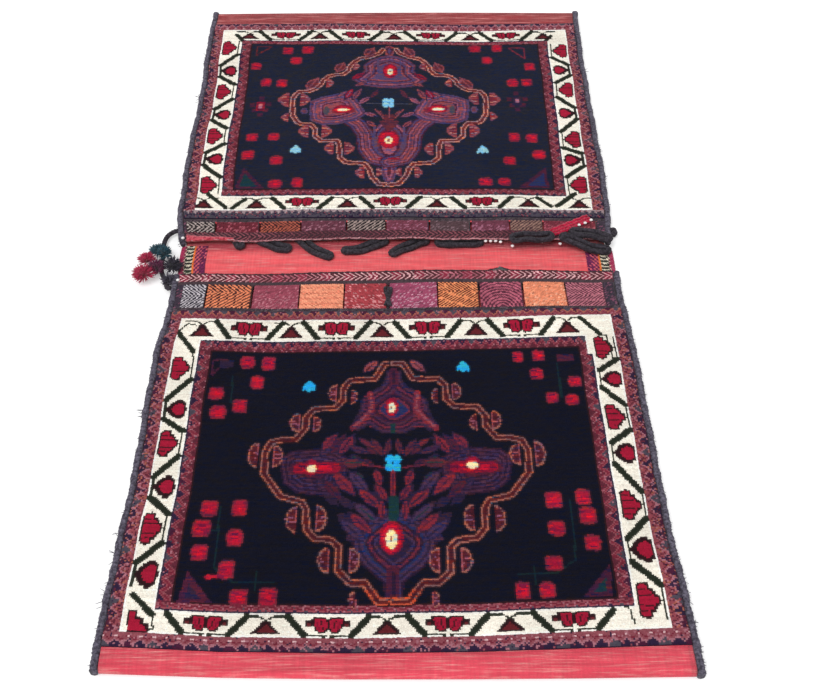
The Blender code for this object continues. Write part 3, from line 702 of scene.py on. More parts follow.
def petal_outline(start, end, wide, share=1.0):
    """A pointed oval between two points, or its smaller heart."""
    dx, dy = end[0] - start[0], end[1] - start[1]
    size = math.hypot(dx, dy)
    inset = (1 - share) / 2
    spots = [(inset + share * t, half) for t, half in ((0, 0.15), (0.25, 0.85), (0.6, 1.0), (1, 0.1))]
    half = wide / 2 * share
    outline = [(start[0] + dx * t - dy / size * half * h, start[1] + dy * t + dx / size * half * h)
               for t, h in spots]
    return outline + [(start[0] + dx * t + dy / size * half * h, start[1] + dy * t - dx / size * half * h)
                      for t, h in reversed(spots)]


def nested(pile, outline, dyes, step):
    """A figure of nested outlines: its dyes follow one another inwards from the edge."""
    depth = distance([*outline, outline[0]], pile.x, pile.y)
    within = inside(outline, pile.x, pile.y)
    for index, dye in enumerate(dyes):
        pile.paint(within & (depth >= index * step), dye)


def flowing(pile, points, dyes, step):
    """Strands side by side along a line, from the middle one outwards."""
    away = distance(points, pile.x, pile.y)
    for index, dye in reversed(list(enumerate(dyes))):
        pile.paint(away < (index + 0.5) * step, dye)


def petal(pile, start, end, wide, body, heart):
    """A petal with a dark edge, a body and a heart."""
    pile.polygon(petal_outline(start, end, wide), "dusk")
    pile.polygon(petal_outline(start, end, wide, 0.80), body)
    vein = [(start[0] + (end[0] - start[0]) * t, start[1] + (end[1] - start[1]) * t) for t in (0.25, 0.75)]
    pile.line(vein, 2.2, heart)


def stepped_band(pile, route, line, fill):
    """The band round a medallion: two thin lines, dark red between and beside them."""
    away = distance(route, pile.x, pile.y)
    pile.paint(away < 6.4, "outline")
    pile.paint(away < 3.0, fill)
    pile.paint(np.abs(away - 3.7) < 1.05, line)


def eyes_and_flower(pile, eyes, flower, dye):
    """Cream eyes in scarlet and crimson rings, and the blue flower in the middle."""
    for x, y, wide, tall, ring in eyes:
        pile.polygon(ellipse(x, y + 2, wide / 2 + ring + 3, tall / 2 + ring + 6), "crimson")
        pile.polygon(ellipse(x, y + 1, wide / 2 + ring, tall / 2 + ring + 2), "scarlet")
        pile.polygon(ellipse(x, y, wide / 2, tall / 2), "cream")
    pile.block(eyes[-1][0], eyes[-1][1], 3, 9, "rust")
    pile.block(eyes[0][0], eyes[0][1] + 1, 3, 6, "rust")
    for dx, dy in ((-1, -1), (-1, 1), (1, -1), (1, 1)):
        pile.polygon(ellipse(flower[0] + dx * 4.8, flower[1] + dy * 6.4, 5.6, 7.4), dye)


def nested_whole(pile, halves, dyes, step):
    """A nested figure made of its left and right halves."""
    left, right = halves
    nested(pile, left + right[::-1], dyes, step)


def near_medallion(pile):
    """Blossoms of plum and purple about a blue flower, inside a stepped band."""
    nested_whole(pile, near_sides(NEAR_CROWN),
                 ("dusk", "near stripe", "near hollow", "crown stripe", "near hollow", "near stripe", "plum",
                  "near hollow", "crown stripe", "blue"), 3.3)
    nested_whole(pile, near_sides(NEAR_URN),
                 ("near hollow", "urn stripe", "dusk", "urn stripe", "blue", "near hollow", "crown stripe",
                  "near hollow", "urn stripe", "dusk"), 3.3)
    for turn in (0, 1):
        nested(pile, near_sides(NEAR_ARM)[turn],
               ("near hollow", "near stripe", "near hollow", "near stripe", "near hollow", "urn stripe",
                "near hollow", "near stripe", "near hollow", "plum"), 3.1)
        for stroke, width, dye in NEAR_STROKES:
            pile.line(near_sides(stroke)[turn], width, dye)
        for root, tip, wide, body, heart in (*NEAR_SHADES, *NEAR_PETALS):
            petal(pile, *near_sides((root, tip))[turn], wide, body, heart)
        for stroke, width, dye in NEAR_STEMS:
            pile.line(near_sides(stroke)[turn], width, dye)
    eyes_and_flower(pile, NEAR_EYES, (NEAR_MIDDLE, 311), "light blue")
    for turn, route in enumerate(near_sides([(0, 492), *NEAR_BAND, (0, 101)])):
        stepped_band(pile, route, "dusty line", "dark red")
        away = distance(route, pile.x, pile.y)
        pile.paint((np.abs(away - 4.2) < 1.05) & (pile.y < 118), "flame")
        for x, y, tall, opens in NEAR_LEAVES:
            fan_leaf(pile, *near_sides([(x, y)])[turn][0], tall, opens * (2 * turn - 1))
        petal(pile, *near_sides([(22, 499), (44, 474)])[turn], 15, "rose", "dark red")


def far_medallion(pile):
    """The larger strokes of the far medallion: striped arms, wings and blossoms."""
    for outline, dyes, step in (
            (FAR_CROWN, ("mulberry", "violet", "plum", "mauve", "mulberry", "violet", "plum", "rose",
                         "violet"), 3.1),
            (FAR_URN, ("mulberry", "mauve", "plum", "violet", "mulberry", "plum", "mauve"), 3.3),
            (FAR_FOOT, ("violet", "mulberry", "mauve", "wine"), 3.0),
            (FAR_BLOSSOM, ("rose", "plum", "violet"), 3.0)):
        nested_whole(pile, far_sides(outline), dyes, step)
    for turn in (0, 1):
        flowing(pile, far_sides(FAR_WING)[turn], ("rust", "mulberry", "mauve", "wine", "violet", "plum"), 2.9)
        nested(pile, far_sides(FAR_ARM)[turn], ("violet", "mulberry", "mauve", "violet", "rose", "mulberry",
                                                "mauve", "plum", "rose"), 3.1)
        nested(pile, far_sides(FAR_SPUR)[turn], ("violet", "mulberry"), 3.0)
        for root, tip, wide, body, heart in FAR_PETALS:
            petal(pile, *far_sides((root, tip))[turn], wide, body, heart)
        for stroke, width, dye in FAR_STROKES:
            pile.line(far_sides(stroke)[turn], width, dye)
        for spot, tall, dye in (((318, 109.2), 9, "rust"), ((326.5, 109.6), 13, "slate")):
            pile.polygon(ellipse(*far_sides([spot])[turn][0], 5, tall), dye)
        for stroke, width, dye in FAR_HEARTS:
            pile.line(far_sides(stroke)[turn], width, dye)
    eyes_and_flower(pile, FAR_EYES, (FAR_MIDDLE - 1.5, 1112), "pale blue")
    for turn, route in enumerate(far_sides(FAR_BAND)):
        stepped_band(pile, route, "pale line", "brown")
        for px, py, tall, opens in FAR_LEAVES:
            pointed_leaf(pile, *far_sides([(px, py)])[turn][0], tall, opens * (1 - 2 * turn))
        for slanted in FAR_SLANTED:
            ends = far_sides(slanted)[turn]
            pile.polygon(petal_outline(*ends, 21), "rose")
            pile.polygon(petal_outline(*ends, 21, 0.78), "wine")
            pile.line(ends, 2.6, "rose")


def ellipse(x, y, half_width, half_height, count=16):
    """An oval outline."""
    turns = [2 * math.pi * step / count for step in range(count)]
    return [(x + half_width * math.cos(t), y + half_height * math.sin(t)) for t in turns]


def fan_leaf(pile, x, y, tall, turn):
    """A half-round leaf, flat towards the band, with a toothed rim and lines like a comb."""
    wide = min(15.5, 0.42 * tall)

    def bow(share):
        turns = [math.pi * (step / 8 - 0.5) for step in range(9)]
        return [(x + turn * (1.5 + (wide - 1.5) * share * math.cos(t)), y + tall / 2 * share * math.sin(t))
                for t in turns]

    pile.polygon(bow(1.0), "dusty line")
    pile.polygon(bow(0.84), "dark red")
    pile.line([(x + turn * 1.8, y - tall * 0.42), (x + turn * 1.8, y + tall * 0.42)], 1.8, "rose")
    for share in (-0.27, -0.09, 0.09, 0.27):
        pile.line([(x + turn * 4, y + tall * share), (x + turn * wide * 0.72, y + tall * share * 0.8)], 1.6,
                  "mauve" if abs(share) < 0.2 else "plum")
    near_leaf = inside(bow(1.05), pile.x, pile.y)
    chance = rng.random(pile.x.shape)
    pile.paint(near_leaf & (chance < 0.14), "wine")
    pile.paint(near_leaf & (chance > 0.97), "mauve")


def pointed_leaf(pile, x, y, tall, turn):
    """A leaf like a small tree, flat towards the band and pointed away from it."""
    wide = min(19, 0.48 * tall)
    for share, dye in ((1.0, "rose"), (0.74, "brick")):
        half = tall / 2 * share
        pile.polygon([(x, y - half), (x + turn * wide * 0.45 * share, y - half * 0.9),
                      (x + turn * wide * share, y - half * 0.2), (x + turn * wide * share, y + half * 0.2),
                      (x + turn * wide * 0.45 * share, y + half * 0.9), (x, y + half)], dye)
    for share in (-0.24, 0.0, 0.24):
        pile.line([(x + turn * 2, y + tall * share), (x + turn * wide * 0.7, y + tall * share * 0.7)], 1.8,
                  "pale line" if share else "rust")


def square_flower(pile, x, y, wide=20, tall=24):
    """A madder square with a darker rim, as small flowers are drawn here."""
    wide += rng.uniform(-2, 2)
    tall += rng.uniform(-2, 2)
    across, along = np.abs(pile.x - x) / (wide / 2), np.abs(pile.y - y) / (tall / 2)
    round_square = across ** 4 + along ** 4
    pile.paint(round_square < 1.25, "brick")
    pile.paint(round_square < 0.50, "madder")
    pile.block(x + 1, y - 1, wide / 3, tall / 3, "scarlet")


def fan_flower(pile, x, y, dye):
    """A small three-petalled flower in light blue."""
    pile.polygon([(x - 10, y - 10), (x - 5, y - 5), (x, y - 10), (x + 4, y - 6), (x + 9, y - 8),
                  (x + 8, y + 3), (x, y + 13), (x - 8, y + 2)], dye)


NEAR_SQUARES = (
    (-210, 496), (-180, 494), (-194, 458), (-249, 437), (-214, 413), (-243, 402), (-238, 239),
    (-200, 239), (-245, 208), (-202, 193), (-244, 172), (-208, 147), (-190, 108), (-155, 108), (173, 503),
    (202, 505), (197, 469), (249, 454), (215, 424), (242, 419), (202, 250), (240, 255), (243, 226),
    (202, 206), (245, 184), (194, 154), (153, 115), (183, 115))
FAR_SQUARES = (
    (-198, 1277), (-161, 1280), (-181, 1246), (-253, 1227), (-231, 1178), (-203, 1175), (-244, 1016),
    (-207, 1016), (-247, 969), (-199, 953), (-197, 893), (-161, 896), (146, 1285), (187, 1286),
    (166, 1247), (243, 1223), (209, 1175), (234, 1175), (201, 1016), (231, 1013), (240, 969), (190, 953),
    (147, 896), (178, 896))
NEAR_VINES = (
    ((-224, 240), (-224, 150), (-200, 130), (-150, 128)), ((-214, 413), (-228, 420), (-228, 470)),
    ((-224, 205), (-245, 205)), ((222, 250), (222, 160), (196, 140), (150, 138)),
    ((228, 424), (228, 490)), ((-172, 145), (-172, 118)), ((170, 150), (170, 124)))
# Eyes of the two medallions: place, size, and how far the scarlet ring stands round them
NEAR_EYES = ((-6, 409, 9, 19, 2), (-111, 304, 12, 13, 1), (100, 307, 15, 12, 1), (-6, 192, 15, 29, 5))
FAR_EYES = ((-10, 1212, 9, 22, 6), (-92, 1093, 22, 7, 3), (74, 1093, 22, 7, 3), (-12, 1005, 13, 20, 9))


def quarter_blossom(border, x, y):
    """The blossom of the near left corner, cut to a quarter: crimson steps with a dark rim."""
    border.polygon([(x, y), (x + 26, y - 2), (x + 25, y + 12), (x + 19, y + 13), (x + 18, y + 20),
                    (x + 10, y + 21), (x + 9, y + 30), (x, y + 30)], "outline")
    border.polygon([(x + 2, y + 2), (x + 23, y + 1), (x + 22, y + 9), (x + 16, y + 10), (x + 15, y + 17),
                    (x + 8, y + 18), (x + 7, y + 28), (x + 2, y + 28)], "madder")
    border.line([(x + 8, y + 3), (x + 8, y + 18)], 2.0, "dark red")


def near_field(pile):
    """The near navy field: medallion, small flowers, their stems, and a mark in each corner."""
    for vine in NEAR_VINES:
        pile.line(vine, 2.4, "dim teal")
    near_medallion(pile)
    for x, y in NEAR_SQUARES:
        square_flower(pile, x, y, *((16, 20) if x > 0 and y > 300 else (20, 24)))
    pile.line([(-232, 137), (-208, 137)], 5, "madder")
    fan_flower(pile, -121, 450, "light blue")
    fan_flower(pile, 94, 482, "light blue")
    pile.polygon([(-264, 101), (-222, 101), (-256, 146)], "plum")
    pile.polygon([(-256, 106), (-236, 106), (-252, 128)], "dusk")
    pile.polygon([(262, 106), (226, 106), (262, 152)], "plum")
    pile.polygon([(254, 112), (238, 112), (256, 134)], "teal")
    pile.line([(-258, 500), (-258, 470), (-240, 500), (-258, 500)], 2.4, "plum")
    pile.block(-240, 492, 20, 14, "dusk")
    pile.block(240, 500, 22, 14, "plum")


def far_field(pile):
    """The far navy field, with two small rosettes beside its medallion."""
    far_medallion(pile)
    for x, y in FAR_SQUARES:
        square_flower(pile, x, y, 20, 22)
    fan_flower(pile, -168, 980, "pale blue")
    fan_flower(pile, 146, 980, "pale blue")
    for x, y, dye in ((-236, 1108, "brick"), (213, 1120, "purple")):
        for dx, dy in ((0, 22), (0, -26), (-14, 4), (14, 4), (-9, -12), (9, -12)):
            pile.block(x + dx, y + dy, 9, 11, "plum" if dy else dye)
        pile.block(x, y, 16, 26, "crimson" if dye == "brick" else "purple")
        pile.block(x, y, 6, 12, "pink")
    pile.polygon([(-262, 882), (-214, 882), (-252, 936)], "plum")
    pile.polygon([(-256, 887), (-226, 887), (-249, 922)], "teal")
    pile.polygon([(250, 882), (200, 882), (248, 936)], "plum")
    pile.polygon([(245, 887), (214, 887), (244, 922)], "blue")
    pile.line([(-254, 1290), (-254, 1262), (-228, 1290), (-254, 1290)], 2.6, "brown")
    pile.line([(236, 1286), (236, 1250), (208, 1286), (236, 1286)], 2.6, "brick")


def pile_piece(name, pile, nodes, material):
    """The pile as one mesh: a quad for each knot, a soft edge all round, and a plain underside."""
    u, y = np.meshgrid(pile.lines_u, pile.lines_y)
    x, strayed = place(u, y)
    top = FACE_TOP + CLEAR + PILE + swell(u, y)
    rim = np.zeros(u.shape, bool)
    rim[[0, -1], :] = True
    rim[:, [0, -1]] = True
    top = top - rim * 0.0012
    loose = rng.normal(0, KNOT_ROUGHNESS, (3, *u.shape)) * ~rim
    verts = np.stack([x + loose[0], strayed + loose[1], top + loose[2]], -1).reshape(-1, 3)
    rows, columns = u.shape
    faces = grid_faces(rows, columns)
    ring = grid_rim(rows, columns)
    low = verts[ring].copy()
    low[:, 2] = (FACE_TOP + CLEAR / 2 + swell(u, y)).reshape(-1)[ring]
    start = len(verts)
    count = len(ring)
    faces += [[ring[i], start + i, start + (i + 1) % count, ring[(i + 1) % count]] for i in range(count)]
    right = [start + columns - 1 + step for step in range(rows)]
    left = [start + (count - step) % count for step in range(rows)]
    faces += [[left[i], left[i + 1], right[i + 1], right[i]] for i in range(1, rows - 2)]
    faces.append([*range(start + columns - 1, start - 1, -1), left[1], right[1]])
    faces.append([right[-2], left[-2], *range(left[-1], right[-1] - 1, -1)])
    knots = knot_colours(pile, rows - 1, columns - 1)
    edge = np.tile(srgb(DYES["dusk"]), (len(faces) - len(knots), 1))
    piece = new_piece(name, np.vstack([verts, low]), faces, material, *nodes, slot="navy_pile")
    dye_faces(piece, np.vstack([knots, edge]))
    return piece


def knot_colours(pile, rows, columns):
    """A colour for each knot: its dye, blurred a little by its neighbours and uneven as dyed wool is."""
    colours = {dye: srgb(code) for dye, code in DYES.items()}
    knots = np.array([colours[dye] for dye in pile.dye.ravel()]).reshape(rows, columns, 3)
    padded = np.pad(knots, ((1, 1), (1, 1), (0, 0)), mode="edge")
    around = (padded[:-2, 1:-1] + padded[2:, 1:-1] + padded[1:-1, :-2] + padded[1:-1, 2:]) / 4
    within = np.abs(pile.u)[..., None] < SIDE_FIELD
    soft = np.where(within & pile.in_field[..., None], KNOT_SOFTNESS_FIELD, KNOT_SOFTNESS)
    knots = (knots * (1 - soft) + around * soft).reshape(-1, 3)
    shade = 1 + rng.normal(0, 0.06, len(knots)) + np.repeat(rng.normal(0, 0.05, rows), columns)
    knots = np.clip(knots * shade[:, None], 0, 1)
    runs = rng.normal(0, 1, (rows, (columns + 1) // STREAK + 2))
    at = (np.arange(columns)[None] + rng.integers(0, STREAK, rows)[:, None]) // STREAK
    streaks = np.take_along_axis(runs, at, 1)[..., None] * STREAK_TINT
    streaks = np.where(soft == KNOT_SOFTNESS_FIELD, streaks, 0).reshape(-1, 3)
    return np.clip(knots * (1 + streaks), 0, 1)


# Butterflies and triangles of each end border, and tulips and hearts of each side border
NEAR_LOW = ((-226, -81, 61, 211), (-155, -11, 135))
NEAR_HIGH = ((-213, -86, 46, 182), (-281, -152, -20, 116, 249))
FAR_LOW = ((-151, -9, 138), (-309, -224, -78, 66, 213, 294))
FAR_HIGH = ((-205, -74, 66, 206), (-272, -141, -3, 139, 275))
NEAR_LEFT = (False, (484, 348, 208), (408, 274, 141))
NEAR_RIGHT = (True, (521, 388, 242, 100), (459, 326, 173))
FAR_LEFT = (False, (1286, 1153, 1022, 890), (1215, 1084, 959))
FAR_RIGHT = (False, (1276, 1150, 1008, 888), (1212, 1082, 953))
# Bars and thin lines of the vine at the corners of the ivory border
NEAR_BARS = (
    ((-316, 556), (-289, 516)), ((269, 582), (295, 548)), ((-318, 112), (-291, 84)),
    ((291, 152), (321, 122)))
NEAR_LINES = (
    ((-316, 556), (-302, 572), (-290, 568)), ((295, 548), (304, 546), (308, 500)),
    ((-291, 84), (-288, 64), (-303, 62)), ((321, 122), (323, 72)), ((265, 92), (278, 92), (282, 68)),
    ((-289, 516), (-289, 506)))
FAR_BARS = (
    ((-304, 868), (-272, 834)), ((-262, 834), (-242, 856)), ((290, 866), (258, 834)),
    ((248, 834), (228, 856)), ((-296, 1330), (-282, 1306)), ((290, 1326), (276, 1306)))
FAR_LINES = (((-272, 834), (-262, 834)), ((258, 834), (248, 834)))


def pocket_pile(name, rings, low_end, high_end, left, right, field, far, material):
    """The whole knotted face of one pocket."""
    pile = Pile(*rings["outer"], f"{name} navy")
    guard_bands(pile, rings, far)
    ring = ivory_border(pile, rings, jog=0 if far else 8)
    low, high = rings["ivory"]
    in_low, in_high = rings["guard"]
    pile.in_field = (pile.row > rings["field"][0]) & (pile.row < rings["field"][1])
    side_vine(pile, ring, -1, *left, low, high)
    side_vine(pile, ring, 1, *right, low, high)
    border = pile.part(ring)
    for bar in FAR_BARS if far else NEAR_BARS:
        border.line(bar, 8.0, "green")
    for line in FAR_LINES if far else NEAR_LINES:
        border.line(line, 2.4, "green")
    if not far:
        quarter_blossom(border, -319, 60)
    end_vine(pile, ring, low, in_low, *low_end)
    end_vine(pile, ring, in_high, high, *high_end)
    field(pile)
    nodes = [f"{name}_{part}" for part in ("ivory_border", "navy_field", "border_vine", "medallion")]
    return pile_piece(f"{name}_pile_face", pile, nodes, material)


# Wrapped stitches
STITCH_ROW = 0.0024
STITCH_STEP = 0.0030
STITCH_LENGTH = 0.0048
STITCH_WIDTH = 0.0023
STITCH_RISE = 0.0011
BRIDGE_END = 0.036


def stitch_piece(name, centres, angles, colours, slab, ground, material, *nodes, slot):
    """Many slanting stitches as one mesh, over a thin slab of ground cloth."""
    stations = ((-0.5, 0.35, 0.10), (-0.22, 1.0, 1.0), (0.22, 1.0, 1.0), (0.5, 0.35, 0.10))
    shape = np.array([(s * STITCH_LENGTH, side * half * STITCH_WIDTH / 2, 0.0 if side else up * STITCH_RISE)
                      for s, half, up in stations for side in (-1, 0, 1)])
    count = len(centres)
    cos, sin = np.cos(angles)[:, None], np.sin(angles)[:, None]
    verts = np.empty((count, len(shape), 3))
    verts[:, :, 0] = centres[:, None, 0] + shape[:, 0] * cos - shape[:, 1] * sin
    verts[:, :, 1] = centres[:, None, 1] + shape[:, 0] * sin + shape[:, 1] * cos
    verts[:, :, 2] = centres[:, None, 2] + shape[:, 2]
    one = []
    for a in (0, 3, 6):
        one += [[a, a + 3, a + 4, a + 1], [a + 1, a + 4, a + 5, a + 2]]
    one += [[0, 1, 2], [11, 10, 9]]
    faces = [[corner + index * len(shape) for corner in face] for index in range(count) for face in one]
    verts, faces = join_parts([(verts.reshape(-1, 3), faces), slab])
    piece = new_piece(name, verts, faces, material, *nodes, slot=slot)
    tones = np.repeat(colours, len(one), axis=0)
    dye_faces(piece, np.vstack([tones, np.tile(srgb(ground), (len(slab[1]), 1))]))


def ground_slab(left, right, low, high, height):
    """A thin closed slab that follows the cloth under a field of stitches."""
    us = np.linspace(left, right, max(2, round((right - left) / 0.012) + 1))
    ys = np.linspace(low, high, max(2, round((high - low) / 0.012) + 1))
    u, y = np.meshgrid(us, ys)
    x, strayed = place(u, y)
    layers = [np.stack([x, strayed, height(u, y) + up], -1).reshape(-1, 3) for up in (-0.0002, 0.0003)]
    rows, columns = u.shape
    size = rows * columns
    bottom = [face[::-1] for face in grid_faces(rows, columns)]
    top = [[corner + size for corner in face] for face in grid_faces(rows, columns)]
    ring = grid_rim(rows, columns)
    walls = [[a, b, b + size, a + size] for a, b in zip(ring, [*ring[1:], ring[0]])]
    return np.vstack(layers), bottom + top + walls


def cloth_top(u, y):
    """Height of the upper cloth's face."""
    return FACE_TOP + CLEAR + swell(u, y)


def bridge_top(u, y):
    """Height of the bridge's face, which lies flat on the floor."""
    return CLOTH + CLEAR + 0 * u


def stitch_field(name, left, right, low, high, pick, ground, material, *nodes, slot, height=cloth_top):
    """Rows of stitches over an oblong of cloth. pick gives each one's colour and slant."""
    us = np.arange(left + STITCH_STEP / 2, right - STITCH_STEP / 4, STITCH_STEP)
    ys = np.arange(low + STITCH_ROW / 2, high, STITCH_ROW)
    u, y = [grid.ravel() for grid in np.meshgrid(us, ys)]
    u = u + rng.normal(0, 0.00018, u.shape)
    y = y + rng.normal(0, 0.00012, y.shape)
    colours, angles = pick((u - left) / MM, (y - low) / MM, (right - left) / MM, (high - low) / MM)
    colours = np.clip(colours * (1 + rng.normal(0, 0.17, len(u)))[:, None], 0, 1)
    x, strayed = place(u, y)
    centres = np.stack([x, strayed, height(u, y) + 0.0003], -1)
    stitch_piece(name, centres, angles, colours, ground_slab(left, right, low, high, height), ground,
                 material, *nodes, slot=slot)


def blend_of(share, dark, light):
    """Colours between dark and light, one for each share."""
    return np.asarray(srgb(dark)) * (1 - share[:, None]) + np.asarray(srgb(light)) * share[:, None]


def lined(run, share, dark, light):
    """Dark wool on the first share of each line that the run crosses, and light wool on the rest."""
    return blend_of((run % 1 < share).astype(float), light, dark)


SLANT = math.radians(38)


def hatched(dark, light, pitch, share, lean):
    """Slanting lines right across a panel: lean 1 rises to the right, and -1 falls."""
    def pick(x, y, wide, tall):
        return lined((x - lean * y) / pitch, share, dark, light), np.full(x.shape, lean * SLANT)
    return pick


def arrows(dark, light, pitch, share, centre=0.5):
    """Lines that point to the right like arrowheads."""
    def pick(x, y, wide, tall):
        off = y - centre * tall
        return lined((x + np.abs(off)) / pitch, share, dark, light), np.where(off > 0, -SLANT, SLANT)
    return pick


def arches(dark, light, pitch, share):
    """Lines bent round the foot of the panel."""
    def pick(x, y, wide, tall):
        run = np.hypot(x - wide / 2, y * 0.9 + 4) / pitch
        return lined(run, share, dark, light), np.where(x < wide / 2, SLANT, -SLANT)
    return pick


def speckled(dark, light, share, lean=1):
    """Plain wrapping with a few paler stitches, most of them in its lower half."""
    def pick(x, y, wide, tall):
        pale = rng.random(x.shape) < share * np.where(y < 0.55 * tall, 1.0, 0.3)
        return blend_of(pale.astype(float), dark, light), np.full(x.shape, lean * SLANT)
    return pick


# Panels of each closure from left to right: width, ground, and how the wrapping is drawn
NEAR_PANELS = (
    (0.037, "grey", "#4A4858", arrows("#36323E", "#C8C0C6", 6.4, 0.50)),
    (0.068, "orange", "#4A1E14", arrows("#461E20", "#EE8C64", 7.2, 0.42, 0.66)),
    (0.069, "purple", "#5E2636", speckled("#9A485A", "#B8707E", 0.28)),
    (0.066, "apricot", "#A04E34", hatched("#DA7A60", "#F29C7C", 6.0, 0.22, -1)),
    (0.063, "madder", "#5A1E2A", speckled("#A63E46", "#D0868A", 0.26, -1)),
    (0.072, "purple", "#5E2640", speckled("#A04A68", "#C68CA0", 0.26)),
    (0.0615, "orange", "#4A1E14", arrows("#6C3424", "#F29464", 5.6, 0.40, 0.62)),
    (0.0645, "purple", "#4A2036", arches("#622A3E", "#B86074", 5.2, 0.45)),
    (0.063, "apricot", "#A04E34", speckled("#E88E6C", "#F4AE90", 0.18)),
    (0.0585, "purple", "#4E2238", arrows("#5E2A3C", "#BA707E", 6.0, 0.42)))
FAR_PANELS = (
    (0.044, "grey", "#38302F", arrows("#281F22", "#B2A29E", 7.2, 0.52)),
    (0.068, "madder", "#4A1828", speckled("#6E2433", "#AA5664", 0.25)),
    (0.063, "orange", "#4E1E18", arrows("#40181C", "#B05A48", 6.4, 0.46)),
    (0.071, "purple", "#3E2036", speckled("#683444", "#9E6878", 0.25)),
    (0.060, "grey", "#2C2C2C", hatched("#2A2224", "#AE9892", 7.0, 0.55, 1)),
    (0.068, "purple", "#3C1E36", speckled("#76384A", "#A2667C", 0.25)),
    (0.065, "dark", "#2E2630", speckled("#543C42", "#7A6068", 0.25)),
    (0.060, "purple", "#452140", speckled("#6E3648", "#A0647A", 0.25)),
    (0.052, "grey", "#3C3238", hatched("#4A2A32", "#967468", 6.4, 0.45, 1)),
    (0.056, "dark", "#2E2028", speckled("#762A3A", "#A65060", 0.30)),
    (0.026, "madder", "#4A1E28", speckled("#7A2E3A", "#A85660", 0.25)))


def slit_places(panels, opened):
    """Left and right edge of each panel across the cloth, and the two edges of each slit."""
    gaps = [SLIT] * (len(panels) - 1)
    if opened:
        gaps[OPENED_SLIT] = OPENED_SLIT_WIDTH
    x = PANEL_SHIFT - (sum(panel[0] for panel in panels) + sum(gaps)) / 2
    spans = []
    slits = []
    for index, panel in enumerate(panels):
        spans.append((x, x + panel[0]))
        x += panel[0]
        if index < len(gaps):
            slits.append((x, x + gaps[index]))
            x += gaps[index]
    return spans, slits


def row_of(band):
    """The two ends of a band along the bag, in metres, from its millimetres."""
    return band[0] * MM - HALF_LENGTH, band[1] * MM - HALF_LENGTH


def closure(pocket, panels, band, material):
    """The wrapped panels of one closure."""
    low, high = row_of(band)
    spans = slit_places(panels, pocket == "near")[0]
    for index, ((left, right), (_, slot, ground, pick)) in enumerate(zip(spans, panels)):
        node = f"{pocket}_panel_{index + 1:02d}"
        stitch_field(f"{node}_wrapping", left, right, low, high, pick, ground, material, node,
                     slot=f"{slot}_soumak")
    for side, left, right in (("left", -CLOTH_WIDTH / 2, spans[0][0] - 0.001),
                              ("right", spans[-1][1] + 0.001, CLOTH_WIDTH / 2)):
        stitch_field(f"{pocket}_{side}_margin_wrapping", left, right, low, high, panel_margin, "#33262E",
                     material, slot="dark_soumak")


def panel_margin(x, y, wide, tall):
    """Dark wrapping between the end panels and the bindings, with a few mauve stitches."""
    pale = rng.random(x.shape) < 0.22
    colours = np.where(pale[:, None], srgb("#7A4A60"), srgb("#3E3240"))
    return colours, np.full(x.shape, SLANT)


def near_chevrons(x, y, wide, tall):
    """Pink and white arrowheads on plum, above a plain dark strip, with a dark row along the lip."""
    off = y - 0.60 * tall
    line = ((x + np.abs(off) * 1.1) / 8.6) % 1 < 0.36
    pale = np.clip(0.75 + 0.6 * np.sin(x / 45 + 1.0), 0.15, 1.0)
    ground = np.where(((x / 37) % 1 < 0.4)[:, None], srgb("#8C2E42"), srgb("#5C2A32"))
    colours = np.where(line[:, None], blend_of(pale, "#B05268", "#E0ACB0"), ground)
    foot = (y < 0.26 * tall)[:, None]
    colours = np.where(foot, srgb("#4A3A40"), colours)
    colours = np.where((y > 0.92 * tall)[:, None], srgb("#39292E"), colours)
    return colours, np.where(off > 0, -SLANT, SLANT)


def far_chevrons(x, y, wide, tall):
    """Rust and plum arrowheads, nearly worn away, above the rolled lip."""
    off = y - 0.5 * tall
    line = ((x + np.abs(off)) / 8.0) % 1 < 0.35
    rust = np.clip(0.5 + 0.6 * np.sin(x / 52), 0.0, 1.0)
    colours = np.where(line[:, None], blend_of(rust, "#6A3440", "#93505A"), srgb("#43242E"))
    return colours, np.where(off > 0, -SLANT, SLANT)


def dark_strip(x, y, wide, tall):
    """Brown-black wrapping, with greyer stitches here and there."""
    colours = np.where((rng.random(x.shape) < 0.3)[:, None], srgb("#5C4C54"), srgb("#40353C"))
    return colours, np.full(x.shape, SLANT)


def bridge_end(x, y, wide, tall, mirror):
    """Edge of the bridge: pale, green and black slants, an orange line, and a purple lattice."""
    x = wide - x if mirror else x
    slants = ((y + 5 * np.sin(x / 5.5)) / 8.5) % 1
    colours = np.where((slants < 0.4)[:, None], srgb("#D8CDB8"), srgb("#2C3A2C"))
    colours = np.where((slants > 0.75)[:, None], srgb("#3A2A30"), colours)
    colours = np.where(((x > 15) & (x < 19))[:, None], srgb("#E8763A"), colours)
    lattice = (np.floor(x / (STITCH_STEP / MM)) + np.floor(y / (STITCH_ROW / MM) / 2)) % 2 == 0
    lattice = np.where(lattice[:, None], srgb("#64224A"), srgb("#C85A68"))
    lattice = np.where((x > 27)[:, None] & (rng.random(x.shape) < 0.6)[:, None], srgb("#6E2450"), lattice)
    colours = np.where((x >= 19)[:, None], lattice, colours)
    return colours, np.full(x.shape, -SLANT if mirror else SLANT)


